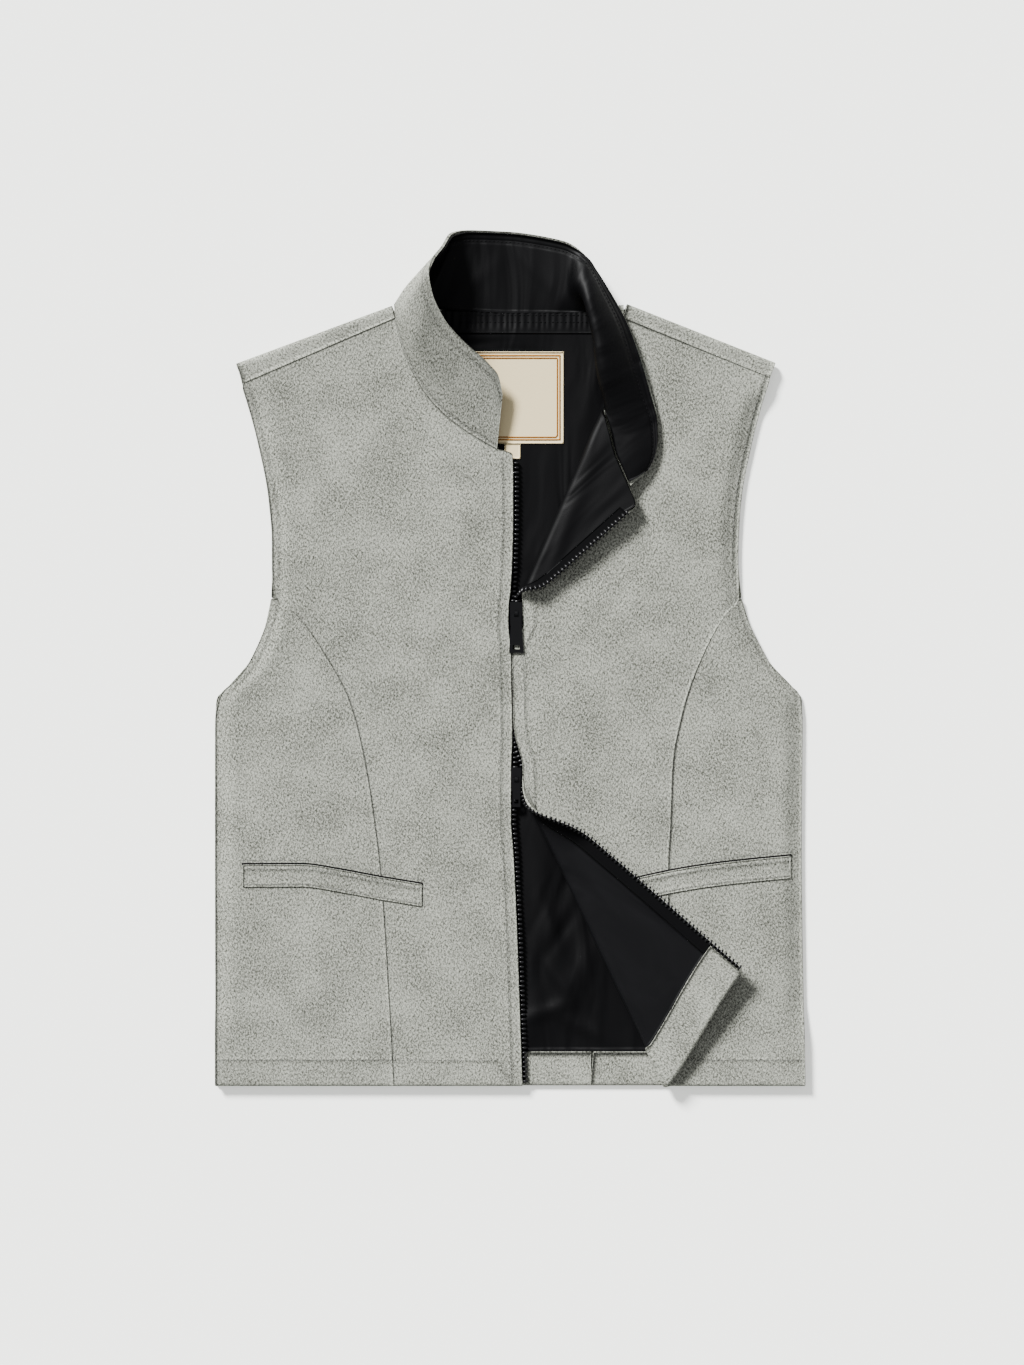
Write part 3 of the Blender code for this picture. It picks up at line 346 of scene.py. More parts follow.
def lay_back(across, up, depth):
    up, depth = hem_turned(up, depth, 1)
    x, y, z = across, up, depth + 0 * across
    for side, sign in ((RIGHT_SHOULDER, -1), (LEFT_SHOULDER, 1)):
        tip, onward, outward, length = shoulder_frame(side)
        along = (across - tip[0]) * onward[0] + (up - tip[1]) * onward[1]
        distance = (across - tip[0]) * outward[0] + (up - tip[1]) * outward[1]
        reach, lift = bent(distance, depth, SHOULDER_RADIUS, math.pi)
        over = (distance > 0) & (across * sign > 0)
        x = np.where(over, tip[0] + onward[0] * along + outward[0] * reach, x)
        y = np.where(over, tip[1] + onward[1] * along + outward[1] * reach, y)
        z = np.where(over, lift, z)
    return x, y, z


def finer(sheet, spacing):
    """A sheet of pattern points with more rows and columns, its edges drawn as smooth curves."""
    grid = np.array(sheet, dtype=float)
    for axis in (0, 1):
        gaps = np.linalg.norm(np.diff(grid, axis=0), axis=2).max(axis=1)
        places = np.arange(len(grid), dtype=float)
        at = [0.0]
        for i, gap in enumerate(gaps):
            steps = max(int(math.ceil(gap / spacing)), 1)
            at += [i + (k + 1) / steps for k in range(steps)]
        at = np.array(at)
        flat = grid.reshape(len(grid), -1)
        if axis == 0 and len(grid) > 2:
            flat = np.stack([curve(places, flat[:, k], at) for k in range(flat.shape[1])], axis=1)
        else:
            flat = np.stack([np.interp(at, places, flat[:, k]) for k in range(flat.shape[1])], axis=1)
        grid = flat.reshape(len(at), grid.shape[1], 2).transpose(1, 0, 2)
    return grid


def distance_to(grid, line):
    """Distance of each pattern point from a line of points."""
    line = np.array(line, dtype=float)
    best = np.full(grid.shape[:-1], 1e9)
    for start, end in zip(line, line[1:]):
        run = end - start
        share = np.clip(((grid - start) @ run) / max(run @ run, 1e-9), 0, 1)
        best = np.minimum(best, np.linalg.norm(grid - start - share[..., None] * run, axis=-1))
    return best


def metres(x, y, z):
    x, y, z = np.broadcast_arrays(x, y, z)
    return np.stack([(x - MIDDLE_ACROSS) / 1000, (y - MIDDLE_UP) / 1000, z / 1000], axis=-1)


# How far a piece's rim stands out past its pattern, and a mark for cloth that is far from any sewing.
RIM = 0.5
FAR_FROM_SEWING = 99.0
# The least share of its own rectangle that a piece's cut is counted as filling.
LEAST_AREA_SHARE = 0.31


def add_cloth(name, sheets, lay, top, bottom, material, spacing=3.0, lines=(), node=None):
    """A wall of cloth laid from its pattern, with a softly rounded rim round its free edges.

    lines are up to three rows of sewing: functions of the pattern grid, 0 on the sewing. node names
    the solid, or solids, that the piece stands for, where its own name isn't the solid's.
    """
    points, faces, pattern, sewn, area = [], [], [], [], 0.0
    for sheet in sheets:
        grid = finer(sheet, spacing)
        rows, columns = grid.shape[:2]
        first = sum(len(p) for p in points)
        across, up = grid[..., 0], grid[..., 1]
        a, b = grid[1:, :-1] - grid[:-1, :-1], grid[:-1, 1:] - grid[:-1, :-1]
        cells = a[..., 1] * b[..., 0] - a[..., 0] * b[..., 1]
        area += np.abs(cells).sum()
        order = np.arange(rows * columns).reshape(rows, columns)
        loop = np.concatenate([order[0, :-1], order[:-1, -1], order[-1, :0:-1], order[:0:-1, 0]])
        inner = np.clip(np.stack(np.unravel_index(loop, order.shape), -1), 1, [rows - 2, columns - 2])
        edge = grid.reshape(-1, 2)[loop]
        away = edge - grid[inner[:, 0], inner[:, 1]]
        away /= np.maximum(np.linalg.norm(away, axis=1, keepdims=True), 1e-6)
        out = edge + away * RIM
        size = rows * columns
        middle, quarter = (top + bottom) / 2, (top - bottom) / 4
        points += [metres(*lay(across, up, top)).reshape(-1, 3),
                   metres(*lay(across, up, bottom)).reshape(-1, 3),
                   metres(*lay(out[:, 0], out[:, 1], middle + quarter)),
                   metres(*lay(out[:, 0], out[:, 1], middle - quarter))]
        quads = np.stack([order[:-1, :-1], order[1:, :-1], order[1:, 1:], order[:-1, 1:]], -1).reshape(-1, 4)
        turn, ring = loop, np.arange(len(loop))
        if np.sum(cells) > 0:
            quads = quads[:, ::-1]
        else:
            turn, ring = turn[::-1], ring[::-1]
        after, ring_after = np.roll(turn, -1), np.roll(ring, -1)
        high, low = 2 * size + ring, 2 * size + len(loop) + ring
        high_after, low_after = 2 * size + ring_after, 2 * size + len(loop) + ring_after
        rims = [np.stack([after, turn, high, high_after], -1),
                np.stack([high_after, high, low, low_after], -1),
                np.stack([low_after, low, size + turn, size + after], -1)]
        faces += [first + f for f in (quads[:, ::-1], quads + size, *rims)]
        whole = np.concatenate([grid.reshape(-1, 2), grid.reshape(-1, 2), out, out])
        pattern.append(whole)
        marks = np.full((len(whole), 3), FAR_FROM_SEWING)
        for k, line in enumerate(lines):
            marks[:, k] = line(whole)
        sewn.append(marks)
    points, faces, pattern = np.concatenate(points), np.concatenate(faces), np.concatenate(pattern)
    piece = add_mesh(name, points, faces, material, pattern / 1000, np.concatenate(sewn))
    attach(piece, "vest")
    # A material's name ends in a number where the solids already have a material of that name.
    for covered in (node or name).split():
        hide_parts(covered)
    width, length = ((pattern.max(0) - pattern.min(0)) / 1000).tolist()
    area = max(area / 1e6, LEAST_AREA_SHARE * width * length)


def shown(name, mesh):
    """An object that shows a mesh in the scene."""
    piece = bpy.data.objects.new(name, mesh)
    bpy.context.scene.collection.objects.link(piece)
    return piece


def add_mesh(name, points, faces, material, uv, marks=None):
    """A smooth mesh, with its pattern as UV and its distances from sewing as an attribute."""
    mesh = bpy.data.meshes.new(name)
    mesh.from_pydata([tuple(p) for p in points], [], [tuple(int(v) for v in f) for f in faces])
    layer = mesh.uv_layers.new(name="pattern")
    corners = np.zeros(len(mesh.loops), dtype=np.int32)
    mesh.loops.foreach_get("vertex_index", corners)
    layer.data.foreach_set("uv", uv[corners].astype(np.float32).ravel())
    if marks is not None:
        layer = mesh.attributes.new("sewing", "FLOAT_VECTOR", "POINT")
        layer.data.foreach_set("vector", marks.astype(np.float32).ravel())
    mesh.materials.append(material)
    mesh.shade_smooth()
    return shown(name, mesh)


class Signal:
    """A value in a material's node tree that can be added to, multiplied and passed through nodes."""

    def __init__(self, tree, socket):
        self.tree = tree
        self.socket = socket

    def joined(self, other, operation, swapped=False):
        made = self.tree.nodes.new("ShaderNodeMath")
        made.operation = operation
        for place, value in zip(made.inputs, (other, self) if swapped else (self, other)):
            if isinstance(value, Signal):
                self.tree.links.new(value.socket, place)
            else:
                place.default_value = value
        return Signal(self.tree, made.outputs[0])

    def __add__(self, other):
        return self.joined(other, "ADD")

    __radd__ = __add__

    def __sub__(self, other):
        return self.joined(other, "SUBTRACT")

    def __rsub__(self, other):
        return self.joined(other, "SUBTRACT", True)

    def __mul__(self, other):
        return self.joined(other, "MULTIPLY")

    __rmul__ = __mul__

    def through(self, kind, inputs, output=0, **settings):
        """Another node of the same tree, with its inputs given by name or number."""
        made = self.tree.nodes.new(kind)
        for name, value in settings.items():
            setattr(made, name, value)
        for name, value in inputs.items():
            if isinstance(value, Signal):
                self.tree.links.new(value.socket, made.inputs[name])
            else:
                made.inputs[name].default_value = value
        return Signal(self.tree, made.outputs[output])


def new_material(name, roughness, metallic=0.0):
    """A Principled material; returns it, its pattern coordinates and a way to set its inputs."""
    material = bpy.data.materials.new(name)
    material.use_nodes = True
    tree = material.node_tree
    shader = tree.nodes["Principled BSDF"]
    shader.inputs["Roughness"].default_value = roughness
    shader.inputs["Metallic"].default_value = metallic
    start = Signal(tree, None)
    pattern = start.through("ShaderNodeUVMap", {}, uv_map="pattern")

    def finish(**links):
        for place, value in links.items():
            name = place.replace("_", " ").title().replace("Ior", "IOR")
            if isinstance(value, Signal):
                tree.links.new(value.socket, shader.inputs[name])
            else:
                shader.inputs[name].default_value = value
        return material

    return pattern, finish


def noise(place, scale, detail, roughness=0.6, distortion=0.0):
    return place.through("ShaderNodeTexNoise", {"Vector": place, "Scale": scale, "Detail": detail,
                                                "Roughness": roughness, "Distortion": distortion})


def stretched(place, angle, across, along):
    """Pattern coordinates turned and stretched, for fibres and folds that run one way."""
    return place.through("ShaderNodeMapping", {"Vector": place, "Rotation": (0, 0, math.radians(angle)),
                                               "Scale": (across, along, 1)})


def groove(place, width):
    """1 on a row of sewing and falling off beside it, from the piece's distances in millimetres."""
    rows = place.through("ShaderNodeAttribute", {}, output="Vector", attribute_name="sewing")
    total = 0.0
    for part in ("X", "Y", "Z"):
        far = rows.through("ShaderNodeSeparateXYZ", {"Vector": rows}, output=part)
        total = (far * far * (-1 / width ** 2)).joined(0.0, "EXPONENT") + total
    return total


def bumped(height, distance, strength):
    return height.through("ShaderNodeBump", {"Height": height, "Distance": distance,
                                             "Strength": strength}, output="Normal")


def blended(share, low, high):
    return share.through("ShaderNodeMix", {"Factor": share, "A": (*low, 1), "B": (*high, 1)},
                         output=2, data_type="RGBA")


# The real cloth is a heather wool melton: short light and dark fibres felted together, matt, with
# soft cloudy patches. Its mix shares are set from the photo's speckle.
def wool_cloth():
    place, finish = new_material("wool", 0.95)
    fibre = noise(stretched(place, 35, 1, 0.7), 800, 4, 0.85)
    cross = noise(stretched(place, -50, 1, 0.7), 620, 4, 0.85)
    fleck = noise(place, 900, 0)
    cloud = noise(place, 24, 3, 0.6)
    sewn = groove(place, 1.7)
    # The colour is darkened along rows of sewing: painted shade in the stitch grooves.
    share = (fibre - 0.5) * 4.4 + (cross - 0.5) * 4.0 + (cloud - 0.5) * 0.8 + 0.5 - sewn * 0.16
    dark = (0.5 - fleck).joined(0.17, "SUBTRACT").joined(0.0, "MAXIMUM") * 3.0
    colour = blended(share - dark, (0.036, 0.037, 0.030), (0.292, 0.300, 0.258))
    height = fibre * 0.3 + cross * 0.3 + cloud * 1.6 - sewn * 2.4
    return finish(base_color=colour, normal=bumped(height, 0.0006, 0.5), specular_ior_level=0.1)


def satin_cloth(name, shade, fold_angle):
    """Black lining with a soft sheen and thin pulled wrinkles across the fold angle, its colour painted
    lighter on the wrinkles' crests and darker in their hollows as painted sheen and shade.
    """
    place, finish = new_material(name, 0.42)
    folds = noise(stretched(place, fold_angle, 1, 0.3), 26, 2, 0.4, 1.6)
    weave = noise(place, 1800, 1)
    sewn = groove(place, 1.5)
    height = folds * 3.6 + weave * 0.1 - sewn * 1.5
    # The colour follows the fold noise, lighter on the wrinkles' crests and darker in their hollows: painted
    # sheen and shade.
    colour = blended(folds, tuple(0.75 * part for part in shade), tuple(1.35 * part for part in shade))
    rough = weave * 0.12 + 0.46
    return finish(base_color=colour, roughness=rough, normal=bumped(height, 0.0011, 0.6),
                  specular_ior_level=0.075)


def plain_cloth(name, shade, rough, weave_scale=1400, depth=0.0003, gloss=0.05):
    place, finish = new_material(name, rough)
    weave = noise(stretched(place, 0, 1, 0.6), weave_scale, 2)
    sewn = groove(place, 0.7)
    # The colour is darkened along rows of sewing: painted shade in the stitch grooves.
    share = (weave - 0.5) * 1.2 + 0.5 - sewn * 0.3
    colour = blended(share, tuple(0.8 * part for part in shade), tuple(1.15 * part for part in shade))
    return finish(base_color=colour, normal=bumped(weave - sewn, depth, 0.5), specular_ior_level=gloss)


WOOL_LOOK = wool_cloth()
SATIN_LOOK = satin_cloth("satin", (0.0007, 0.0007, 0.0009), 20)
# The turned corner's lining is the same satin painted about three times lighter: painted light on the turned
# corner.
PAINTED_LIGHTER_SATIN_LOOK = satin_cloth("satin_in_light", (0.0022, 0.0022, 0.0026), 60)
TAPE_LOOK = plain_cloth("zip_tape", (0.0012, 0.0012, 0.0014), 0.9)
THREAD_LOOK = plain_cloth("wool_thread", (0.15, 0.152, 0.14), 0.8)
DARK_THREAD_LOOK = plain_cloth("black_thread", (0.0035, 0.0035, 0.004), 0.6)


def repeat_group(name, rounded):
    """Geometry nodes that set a small solid along lines: a thread stitch, or a flat zip tooth."""
    group = bpy.data.node_groups.new(name, "GeometryNodeTree")
    group.interface.new_socket("Geometry", in_out="INPUT", socket_type="NodeSocketGeometry")
    group.interface.new_socket("Geometry", in_out="OUTPUT", socket_type="NodeSocketGeometry")
    for label, kind in (("Spacing", "NodeSocketFloat"), ("Size", "NodeSocketVector"),
                        ("Material", "NodeSocketMaterial")):
        group.interface.new_socket(label, in_out="INPUT", socket_type=kind)

    def node(kind, links, **settings):
        made = group.nodes.new(kind)
        for key, value in settings.items():
            setattr(made, key, value)
        for place, value in links.items():
            if isinstance(value, bpy.types.NodeSocket):
                group.links.new(value, made.inputs[place])
            else:
                made.inputs[place].default_value = value
        return made

    given = node("NodeGroupInput", {}).outputs
    line = node("GeometryNodeMeshToCurve", {"Mesh": given["Geometry"]})
    line = node("GeometryNodeResampleCurve", {"Curve": line.outputs[0], "Length": given["Spacing"]},
                mode="LENGTH")
    if rounded:
        shape = node("GeometryNodeMeshUVSphere", {"Segments": 6, "Rings": 5, "Radius": 0.5})
    else:
        shape = node("GeometryNodeMeshCylinder", {"Vertices": 8, "Radius": 0.5, "Depth": 1.0})
    onward = node("GeometryNodeInputTangent", {})
    upward = node("GeometryNodeInputNamedAttribute", {"Name": "upward"}, data_type="FLOAT_VECTOR")
    turn = node("FunctionNodeAxesToRotation", {"Primary Axis": upward.outputs[0],
                                               "Secondary Axis": onward.outputs[0]},
                primary_axis="Z", secondary_axis="X")
    placed = node("GeometryNodeInstanceOnPoints", {"Points": line.outputs[0], "Instance": shape.outputs[0],
                                                   "Rotation": turn.outputs[0], "Scale": given["Size"]})
    whole = node("GeometryNodeRealizeInstances", {"Geometry": placed.outputs[0]})
    dressed = node("GeometryNodeSetMaterial", {"Geometry": whole.outputs[0], "Material": given["Material"]})
    out = node("NodeGroupOutput", {})
    group.links.new(dressed.outputs[0], out.inputs[0])
    return group


# Points along a row of sewing, and how far over the cloth its thread lies.
SEWN_STEP = 3.0
THREAD_LIES_ON = 0.1
STITCHES = repeat_group("stitches along a line", True)
TEETH = repeat_group("zip teeth along a line", False)


def repeat_along(name, lines, group, spacing, size, material, upward=None):
    """Runs a group along rows of points in metres and keeps its result as a plain mesh."""
    points, edges = [], []
    for line in lines:
        first = len(points)
        points += [tuple(point) for point in line]
        edges += [(first + i, first + i + 1) for i in range(len(line) - 1)]
    mesh = bpy.data.meshes.new(name)
    mesh.from_pydata(points, edges, [])
    layer = mesh.attributes.new("upward", "FLOAT_VECTOR", "POINT")
    facing = np.tile((0.0, 0.0, 1.0), (len(points), 1)) if upward is None else np.concatenate(upward)
    layer.data.foreach_set("vector", facing.astype(np.float32).ravel())
    source = shown(name + "_lines", mesh)
    repeat = source.modifiers.new("repeat", "NODES")
    repeat.node_group = group
    names = {item.name: item.identifier for item in group.interface.items_tree if item.in_out == "INPUT"}
    repeat[names["Spacing"]] = spacing
    repeat[names["Size"]] = size
    repeat[names["Material"]] = material
    source.update_tag()
    bpy.context.view_layer.update()
    ready = source.evaluated_get(bpy.context.evaluated_depsgraph_get())
    made = bpy.data.meshes.new_from_object(ready)
    made.name = name
    bpy.data.objects.remove(source)
    made.shade_smooth()
    piece = shown(name, made)
    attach(piece, "vest")


def sewn_line(lay, depth, line):
    """A line of pattern points, laid on the cloth at a depth, as points in metres."""
    line = np.array(line, dtype=float)
    lengths = np.linalg.norm(np.diff(line, axis=0), axis=1)
    along = np.concatenate([[0], np.cumsum(lengths)])
    at = np.linspace(0, along[-1], max(int(along[-1] / SEWN_STEP), 2))
    across, up = (np.interp(at, along, line[:, k]) for k in (0, 1))
    return metres(*lay(across, up, depth))


def stitches(name, lines, material=THREAD_LOOK, spacing=0.0036, length=0.0024, thick=0.0007):
    """Rows of stitches; their spacing, length and thickness are in metres."""
    repeat_along(name, lines, STITCHES, spacing, (length, thick, thick), material)


def row_between(first, last, count):
    """Points spaced evenly on a straight line."""
    first, last = np.array(first, dtype=float), np.array(last, dtype=float)
    return [tuple(first + (last - first) * i / (count - 1)) for i in range(count)]


def away_from(line):
    """The distance of pattern points from a row of sewing."""
    return lambda points: distance_to(points, line)


# The back lies on the floor, outside down. It is three panels with a turned-up hem, and its middle
# panel wraps over both shoulders to forward seams on the fronts.
BACK_HEIGHTS = [*np.linspace(CHEST_LINE - 3.5, 345.0, 4), 334.0, *np.linspace(300.0, HEM_RADIUS, 5)]
BACK_SPACING = 4.5
HEM_SHARES = (0, 0.17, 0.33, 0.5, 0.67, 0.83, 1)
SHOULDER_POINTS = 9
ROUND_SHOULDER = 13
NECK_HALF = 100.0


def hem_rows(turn_up):
    """Pattern heights from just above the hem round its bend to the turn-up's end."""
    bend = [HEM_RADIUS - HEM_ARC * share for share in HEM_SHARES]
    return bend + [2 * HEM_RADIUS - HEM_ARC - turn_up]


def between_edges(top, bottom, first, last):
    """A sheet of points between four edges that meet at their ends: a Coons patch."""
    top, bottom, first, last = (np.array(edge, dtype=float) for edge in (top, bottom, first, last))
    down = np.linspace(0, 1, len(first))[:, None, None]
    on = np.linspace(0, 1, len(top))[None, :, None]
    corners = ((top[0] * (1 - on) + top[-1] * on) * (1 - down)
               + (bottom[0] * (1 - on) + bottom[-1] * on) * down)
    return (top[None] * (1 - down) + bottom[None] * down + first[:, None] * (1 - on)
            + last[:, None] * on - corners)


def shoulder_row(side, distance_tip, distance_neck, count):
    """Points along a shoulder, from its tip to its neck end, past the bend line by the distances."""
    tip, onward, outward, length = shoulder_frame(side)
    length -= NECK_PINCH * max(distance_neck - SHOULDER_ARC / 2, 0)
    return row_between(tip + outward * distance_tip,
                       tip + onward * length + outward * distance_neck, count)


def shoulder_flap(side, count):
    """The stretch of the back that wraps over a shoulder and reaches the forward seam."""
    bend = np.linspace(0, SHOULDER_ARC, ROUND_SHOULDER)
    rows = [shoulder_row(side, distance, distance, count) for distance in bend]
    past = SHOULDER_ARC - SHOULDER_RADIUS
    rows.append(shoulder_row(side, past + side.tip_seam, past + side.neck_seam, count))
    return rows


def add_back():
    right = shoulder_row(RIGHT_SHOULDER, 0, 0, SHOULDER_POINTS)
    left = shoulder_row(LEFT_SHOULDER, 0, 0, SHOULDER_POINTS)[::-1]
    neck = [(across, BACK_NECK + (right[-1][1] - BACK_NECK) * (abs(across) / NECK_HALF) ** 2 - SEAM_GAP)
            for across in np.linspace(right[-1][0], left[0][0], 17)[1:-1]]
    top = right + neck + left

    def edge(side, sign, start):
        """The middle panel's edge from a shoulder's tip down the armhole and the princess seam."""
        points = [start]
        for up in [*np.linspace(start[1], CHEST_LINE, 12)[1:], *BACK_HEIGHTS]:
            table = BODY_SIDE if up >= CHEST_LINE else BACK_PRINCESS_SEAM
            points.append((sign * (read(table, side, up) - SEAM_GAP / 2), up))
        return points

    right_edge, left_edge = edge("right", -1, right[0]), edge("left", 1, left[-1])
    bottom = row_between(right_edge[-1], left_edge[-1], len(top))
    sheet = [list(row) for row in between_edges(top, bottom, right_edge, left_edge)]
    sheet += [[(point[0], up) for point in bottom] for up in hem_rows(HEM_TURN_UP)[1:]]
    flaps = [shoulder_flap(side, SHOULDER_POINTS) for side in (RIGHT_SHOULDER, LEFT_SHOULDER)]
    add_cloth("back_middle_panel", [sheet] + flaps, lay_back, WOOL, 0, WOOL_LOOK, BACK_SPACING,
              node="back_centre")
    for side, sign in (("right", -1), ("left", 1)):
        sheet = []
        for up in BACK_HEIGHTS + hem_rows(HEM_TURN_UP)[1:]:
            laid = max(hem_turned(up, 0, 1)[0], 0)
            seam = read(BACK_PRINCESS_SEAM, side, laid) + SEAM_GAP / 2
            edge_at = max(read(BODY_SIDE, side, laid), seam + LEAST_PANEL)
            sheet.append(row_between((sign * seam, up), (sign * edge_at, up), 4))
        add_cloth("back_side_panel_" + side, [sheet], lay_back, WOOL, 0, WOOL_LOOK, BACK_SPACING,
                  node="back_side_" + side)


add_back()


# The back's black satin lining shows inside the neck and between the open fronts. It is gathered
# into the neck seam and has loose wrinkles near the hem. The label is left bare.
GATHER_FOOT = 653.0
GATHER_TOP = 672.5
GATHER_HALF = 96.0
PLEAT_HEIGHT = 0.24
LINING_MARGIN = 26.0
# The lining's half width at the neck's top, and how fast the shoulders widen below it.
LINING_NECK_HALF = 98.0
LINING_NECK_TOP = 669.6
SHOULDER_WIDENS = 2.0
# The lining is wrinkled where it is seen: near the neck and in the bottom opening.
NECK_SEEN_FROM = Fade(560.0, 20.0)
OPENING_SEEN_UNTIL = Fade(250.0, 20.0)
LINING_WRINKLES = [
    Ridge(28, 190, 100, 70, 10, 1.95),
    Ridge(36, 120, 120, 60, 10, 2.25),
    Ridge(56, 90, 60, 40, 10, 1.95),
    Ridge(20, 60, 75, 40, 9, 1.95),
    Ridge(-10, 652, 2, 50, 9, 1.2),
    Ridge(30, 160, 72, 26, 4, -1.65),
    Ridge(44, 132, 58, 22, 4, -1.8),
    Ridge(26, 104, 100, 28, 4.5, -1.5),
    Ridge(60, 70, 110, 24, 4, -1.35),
    Ridge(-30, 644, 4, 26, 3, -0.6),
    Ridge(10, 638, -5, 22, 3, -0.5),
    Ridge(70, 600, 80, 40, 7, 0.8),
    Ridge(-72, 600, 100, 40, 7, 0.8),
    Ridge(33, 208, 118, 34, 5, 2.0),
    Ridge(47, 172, 66, 30, 5, -1.6),
    Ridge(33, 146, 112, 30, 5, 2.2),
    Ridge(22, 118, 84, 28, 4, 1.8),
    Ridge(42, 92, 128, 26, 5, 2.0),
    Ridge(66, 112, 104, 24, 4, 1.6),
    Ridge(30, 64, 20, 22, 5, 1.9),
    Ridge(60, 52, 150, 24, 5, 1.7),
    Ridge(78, 76, 86, 34, 2.5, 1.3),
]


def lay_back_lining(across, up, depth):
    seen = np.minimum(ramp(up, *NECK_SEEN_FROM) + 1 - ramp(up, *OPENING_SEEN_UNTIL), 1)
    height = LINING_LEVEL + ridged(LINING_WRINKLES, across, up) * seen + depth
    pleats = np.sin(across * 1.15 + 1.3 * np.sin(across * 0.21)) * ramp(up, GATHER_FOOT, 8)
    return across, up, height + PLEAT_HEIGHT * pleats


def lining_row(up, count):
    """A row of the back lining, kept inside the armholes and the slope of the shoulders."""
    sloped = LINING_NECK_HALF + (LINING_NECK_TOP - min(up, LINING_NECK_TOP)) * SHOULDER_WIDENS
    right, left = (min(read(BODY_SIDE, side, up), sloped) - LINING_MARGIN for side in ("right", "left"))
    return row_between((-right, up), (left, up), count)


LABEL_CENTRE, LABEL_BOTTOM = -0.8, 557.4
LABEL_WIDTH, LABEL_HEIGHT, LABEL_THICKNESS = 94.0, 79.0, 0.5
LABEL_MIDDLE_ROW = 40.0
LABEL_BORDER_INSETS = (3.0, 5.2)
TAB_RIGHT, TAB_LEFT, TAB_LENGTH = -3.5, 9.5, 13.0
GATHER_STITCHES_UP = (662.5, 668.5)
GATHER_STITCHES_FROM, GATHER_STITCHES_TO = -42.0, 66.0
LABEL_LOOK = plain_cloth("label_cloth", (0.57, 0.475, 0.285), 0.75, 1700)
GOLD_THREAD_LOOK = plain_cloth("gold_thread", (0.30, 0.11, 0.008), 0.6)


def add_back_lining():
    sheet = [lining_row(up, 15) for up in np.linspace(GATHER_FOOT, HEM_TURN_UP + 1, 40)]
    gathers = [row_between((-GATHER_HALF, up), (GATHER_HALF, up), 190)
               for up in np.linspace(GATHER_TOP, GATHER_FOOT, 18)]
    add_cloth("back_lining_satin", [gathers, sheet], lay_back_lining, SATIN, 0, SATIN_LOOK, 4.0,
              node="back_lining")
    under = SATIN + SEAM_GAP
    face = under + LABEL_THICKNESS
    start, end = LABEL_CENTRE - LABEL_WIDTH / 2, LABEL_CENTRE + LABEL_WIDTH / 2
    top = LABEL_BOTTOM + LABEL_HEIGHT
    label = [row_between((start, up), (end, up), 5)
             for up in (LABEL_BOTTOM, LABEL_BOTTOM + LABEL_MIDDLE_ROW, top)]
    add_cloth("bare_neck_label", [label], lay_back_lining, face, under, LABEL_LOOK, 2.0, node="neck_label")
    foot = LABEL_BOTTOM - SEAM_GAP
    tab = [row_between((LABEL_CENTRE + TAB_RIGHT, up), (LABEL_CENTRE + TAB_LEFT, up), 3)
           for up in (foot - TAB_LENGTH, foot)]
    add_cloth("bare_size_tab", [tab], lay_back_lining, face, under, LABEL_LOOK, 2.0, node="size_tab")
    borders = []
    for inset in LABEL_BORDER_INSETS:
        low, high = LABEL_BOTTOM + inset, top - inset
        first, last = start + inset, end - inset
        corners = [(first, low), (last, low), (last, high), (first, high), (first, low)]
        borders.append(sewn_line(lay_back_lining, face + THREAD_LIES_ON, corners))
    stitches("label_border_lines", borders, GOLD_THREAD_LOOK,
             spacing=0.0011, length=0.0018, thick=0.0013)
    gather = [sewn_line(lay_back_lining, SATIN + THREAD_LIES_ON,
                        [(GATHER_STITCHES_FROM, up), (GATHER_STITCHES_TO, up)])
              for up in GATHER_STITCHES_UP]
    stitches("neck_gather_stitches", gather, DARK_THREAD_LOOK)


add_back_lining()


# Both fronts lie outside up over the back. Each is a middle and a side panel joined by a princess
# seam, topstitched along its zip edge and armhole, with its hem turned under and stitched.

# The panels have a row of points at each of these heights, and closer ones where the zip edge bends.
FRONT_HEIGHTS = [461, 447, 438, 431, 425, 419, 400, 391, 382, 370, 345, 318, 302, 290, 278, 266, 256,
                 246, 236, 226, 214, 200, 170, 140, 105, 70, CORNER_TURN_UP + SEAM_GAP, HEM_RADIUS]
# The rows slant down to the princess seam by this much.
SEAM_SLANT = 0.915
SEAM_HEIGHTS = [HEM_RADIUS + (up - HEM_RADIUS) * SEAM_SLANT for up in FRONT_HEIGHTS]
ZIP_RIM = 9.0
FIRST_ROW_UNDER_TIP = 4.0
MOST_RIM_SHARE = 0.3
ZIP_STITCHES_IN, ZIP_STITCHES_TOP, ZIP_STITCHES_FOOT = 9.3, 544.0, 4.0
HEM_STITCHES_UP, HEM_STITCHES_FROM, HEM_STITCHES_TO = 22.8, 13.0, 252.0
ARMHOLE_STITCHES_IN, ARMHOLE_STITCHES_TOP, ARMHOLE_STITCHES_FOOT = 5.0, 616.0, 336.0
# Rows above the parting belong to the lapel's crease, and rows below it to the bottom corner's.
CREASE_PARTING = 345.0
LEAST_TURN = 8.0
LINED_FROM_TURN = 3.0
# Where little cloth is turned back, its bend and its rim take at most these shares of it.
MOST_BEND_OF_TURN, MOST_RIM_OF_TURN = 0.4, 0.45


def neck_curve(first, last):
    """Points along the neck seam in the laid pattern, between two rows of its table."""
    rows = np.arange(len(NECK), dtype=float)
    at = np.array([at for at in NECK_STATIONS if min(first, last) <= at <= max(first, last)])
    if first > last:
        at = at[::-1]
    return list(zip(curve(rows, column(NECK, "across"), at), curve(rows, column(NECK, "up"), at)))


def front_outer(side, up):
    """The outer edge of a front's middle panel: armhole above the chest line, seam below."""
    sign = -1 if side == "right" else 1
    if up >= CHEST_LINE:
        return sign * read(BODY_SIDE, side, up), up
    return sign * (read(PRINCESS_SEAM, side, up) - SEAM_GAP / 2), up


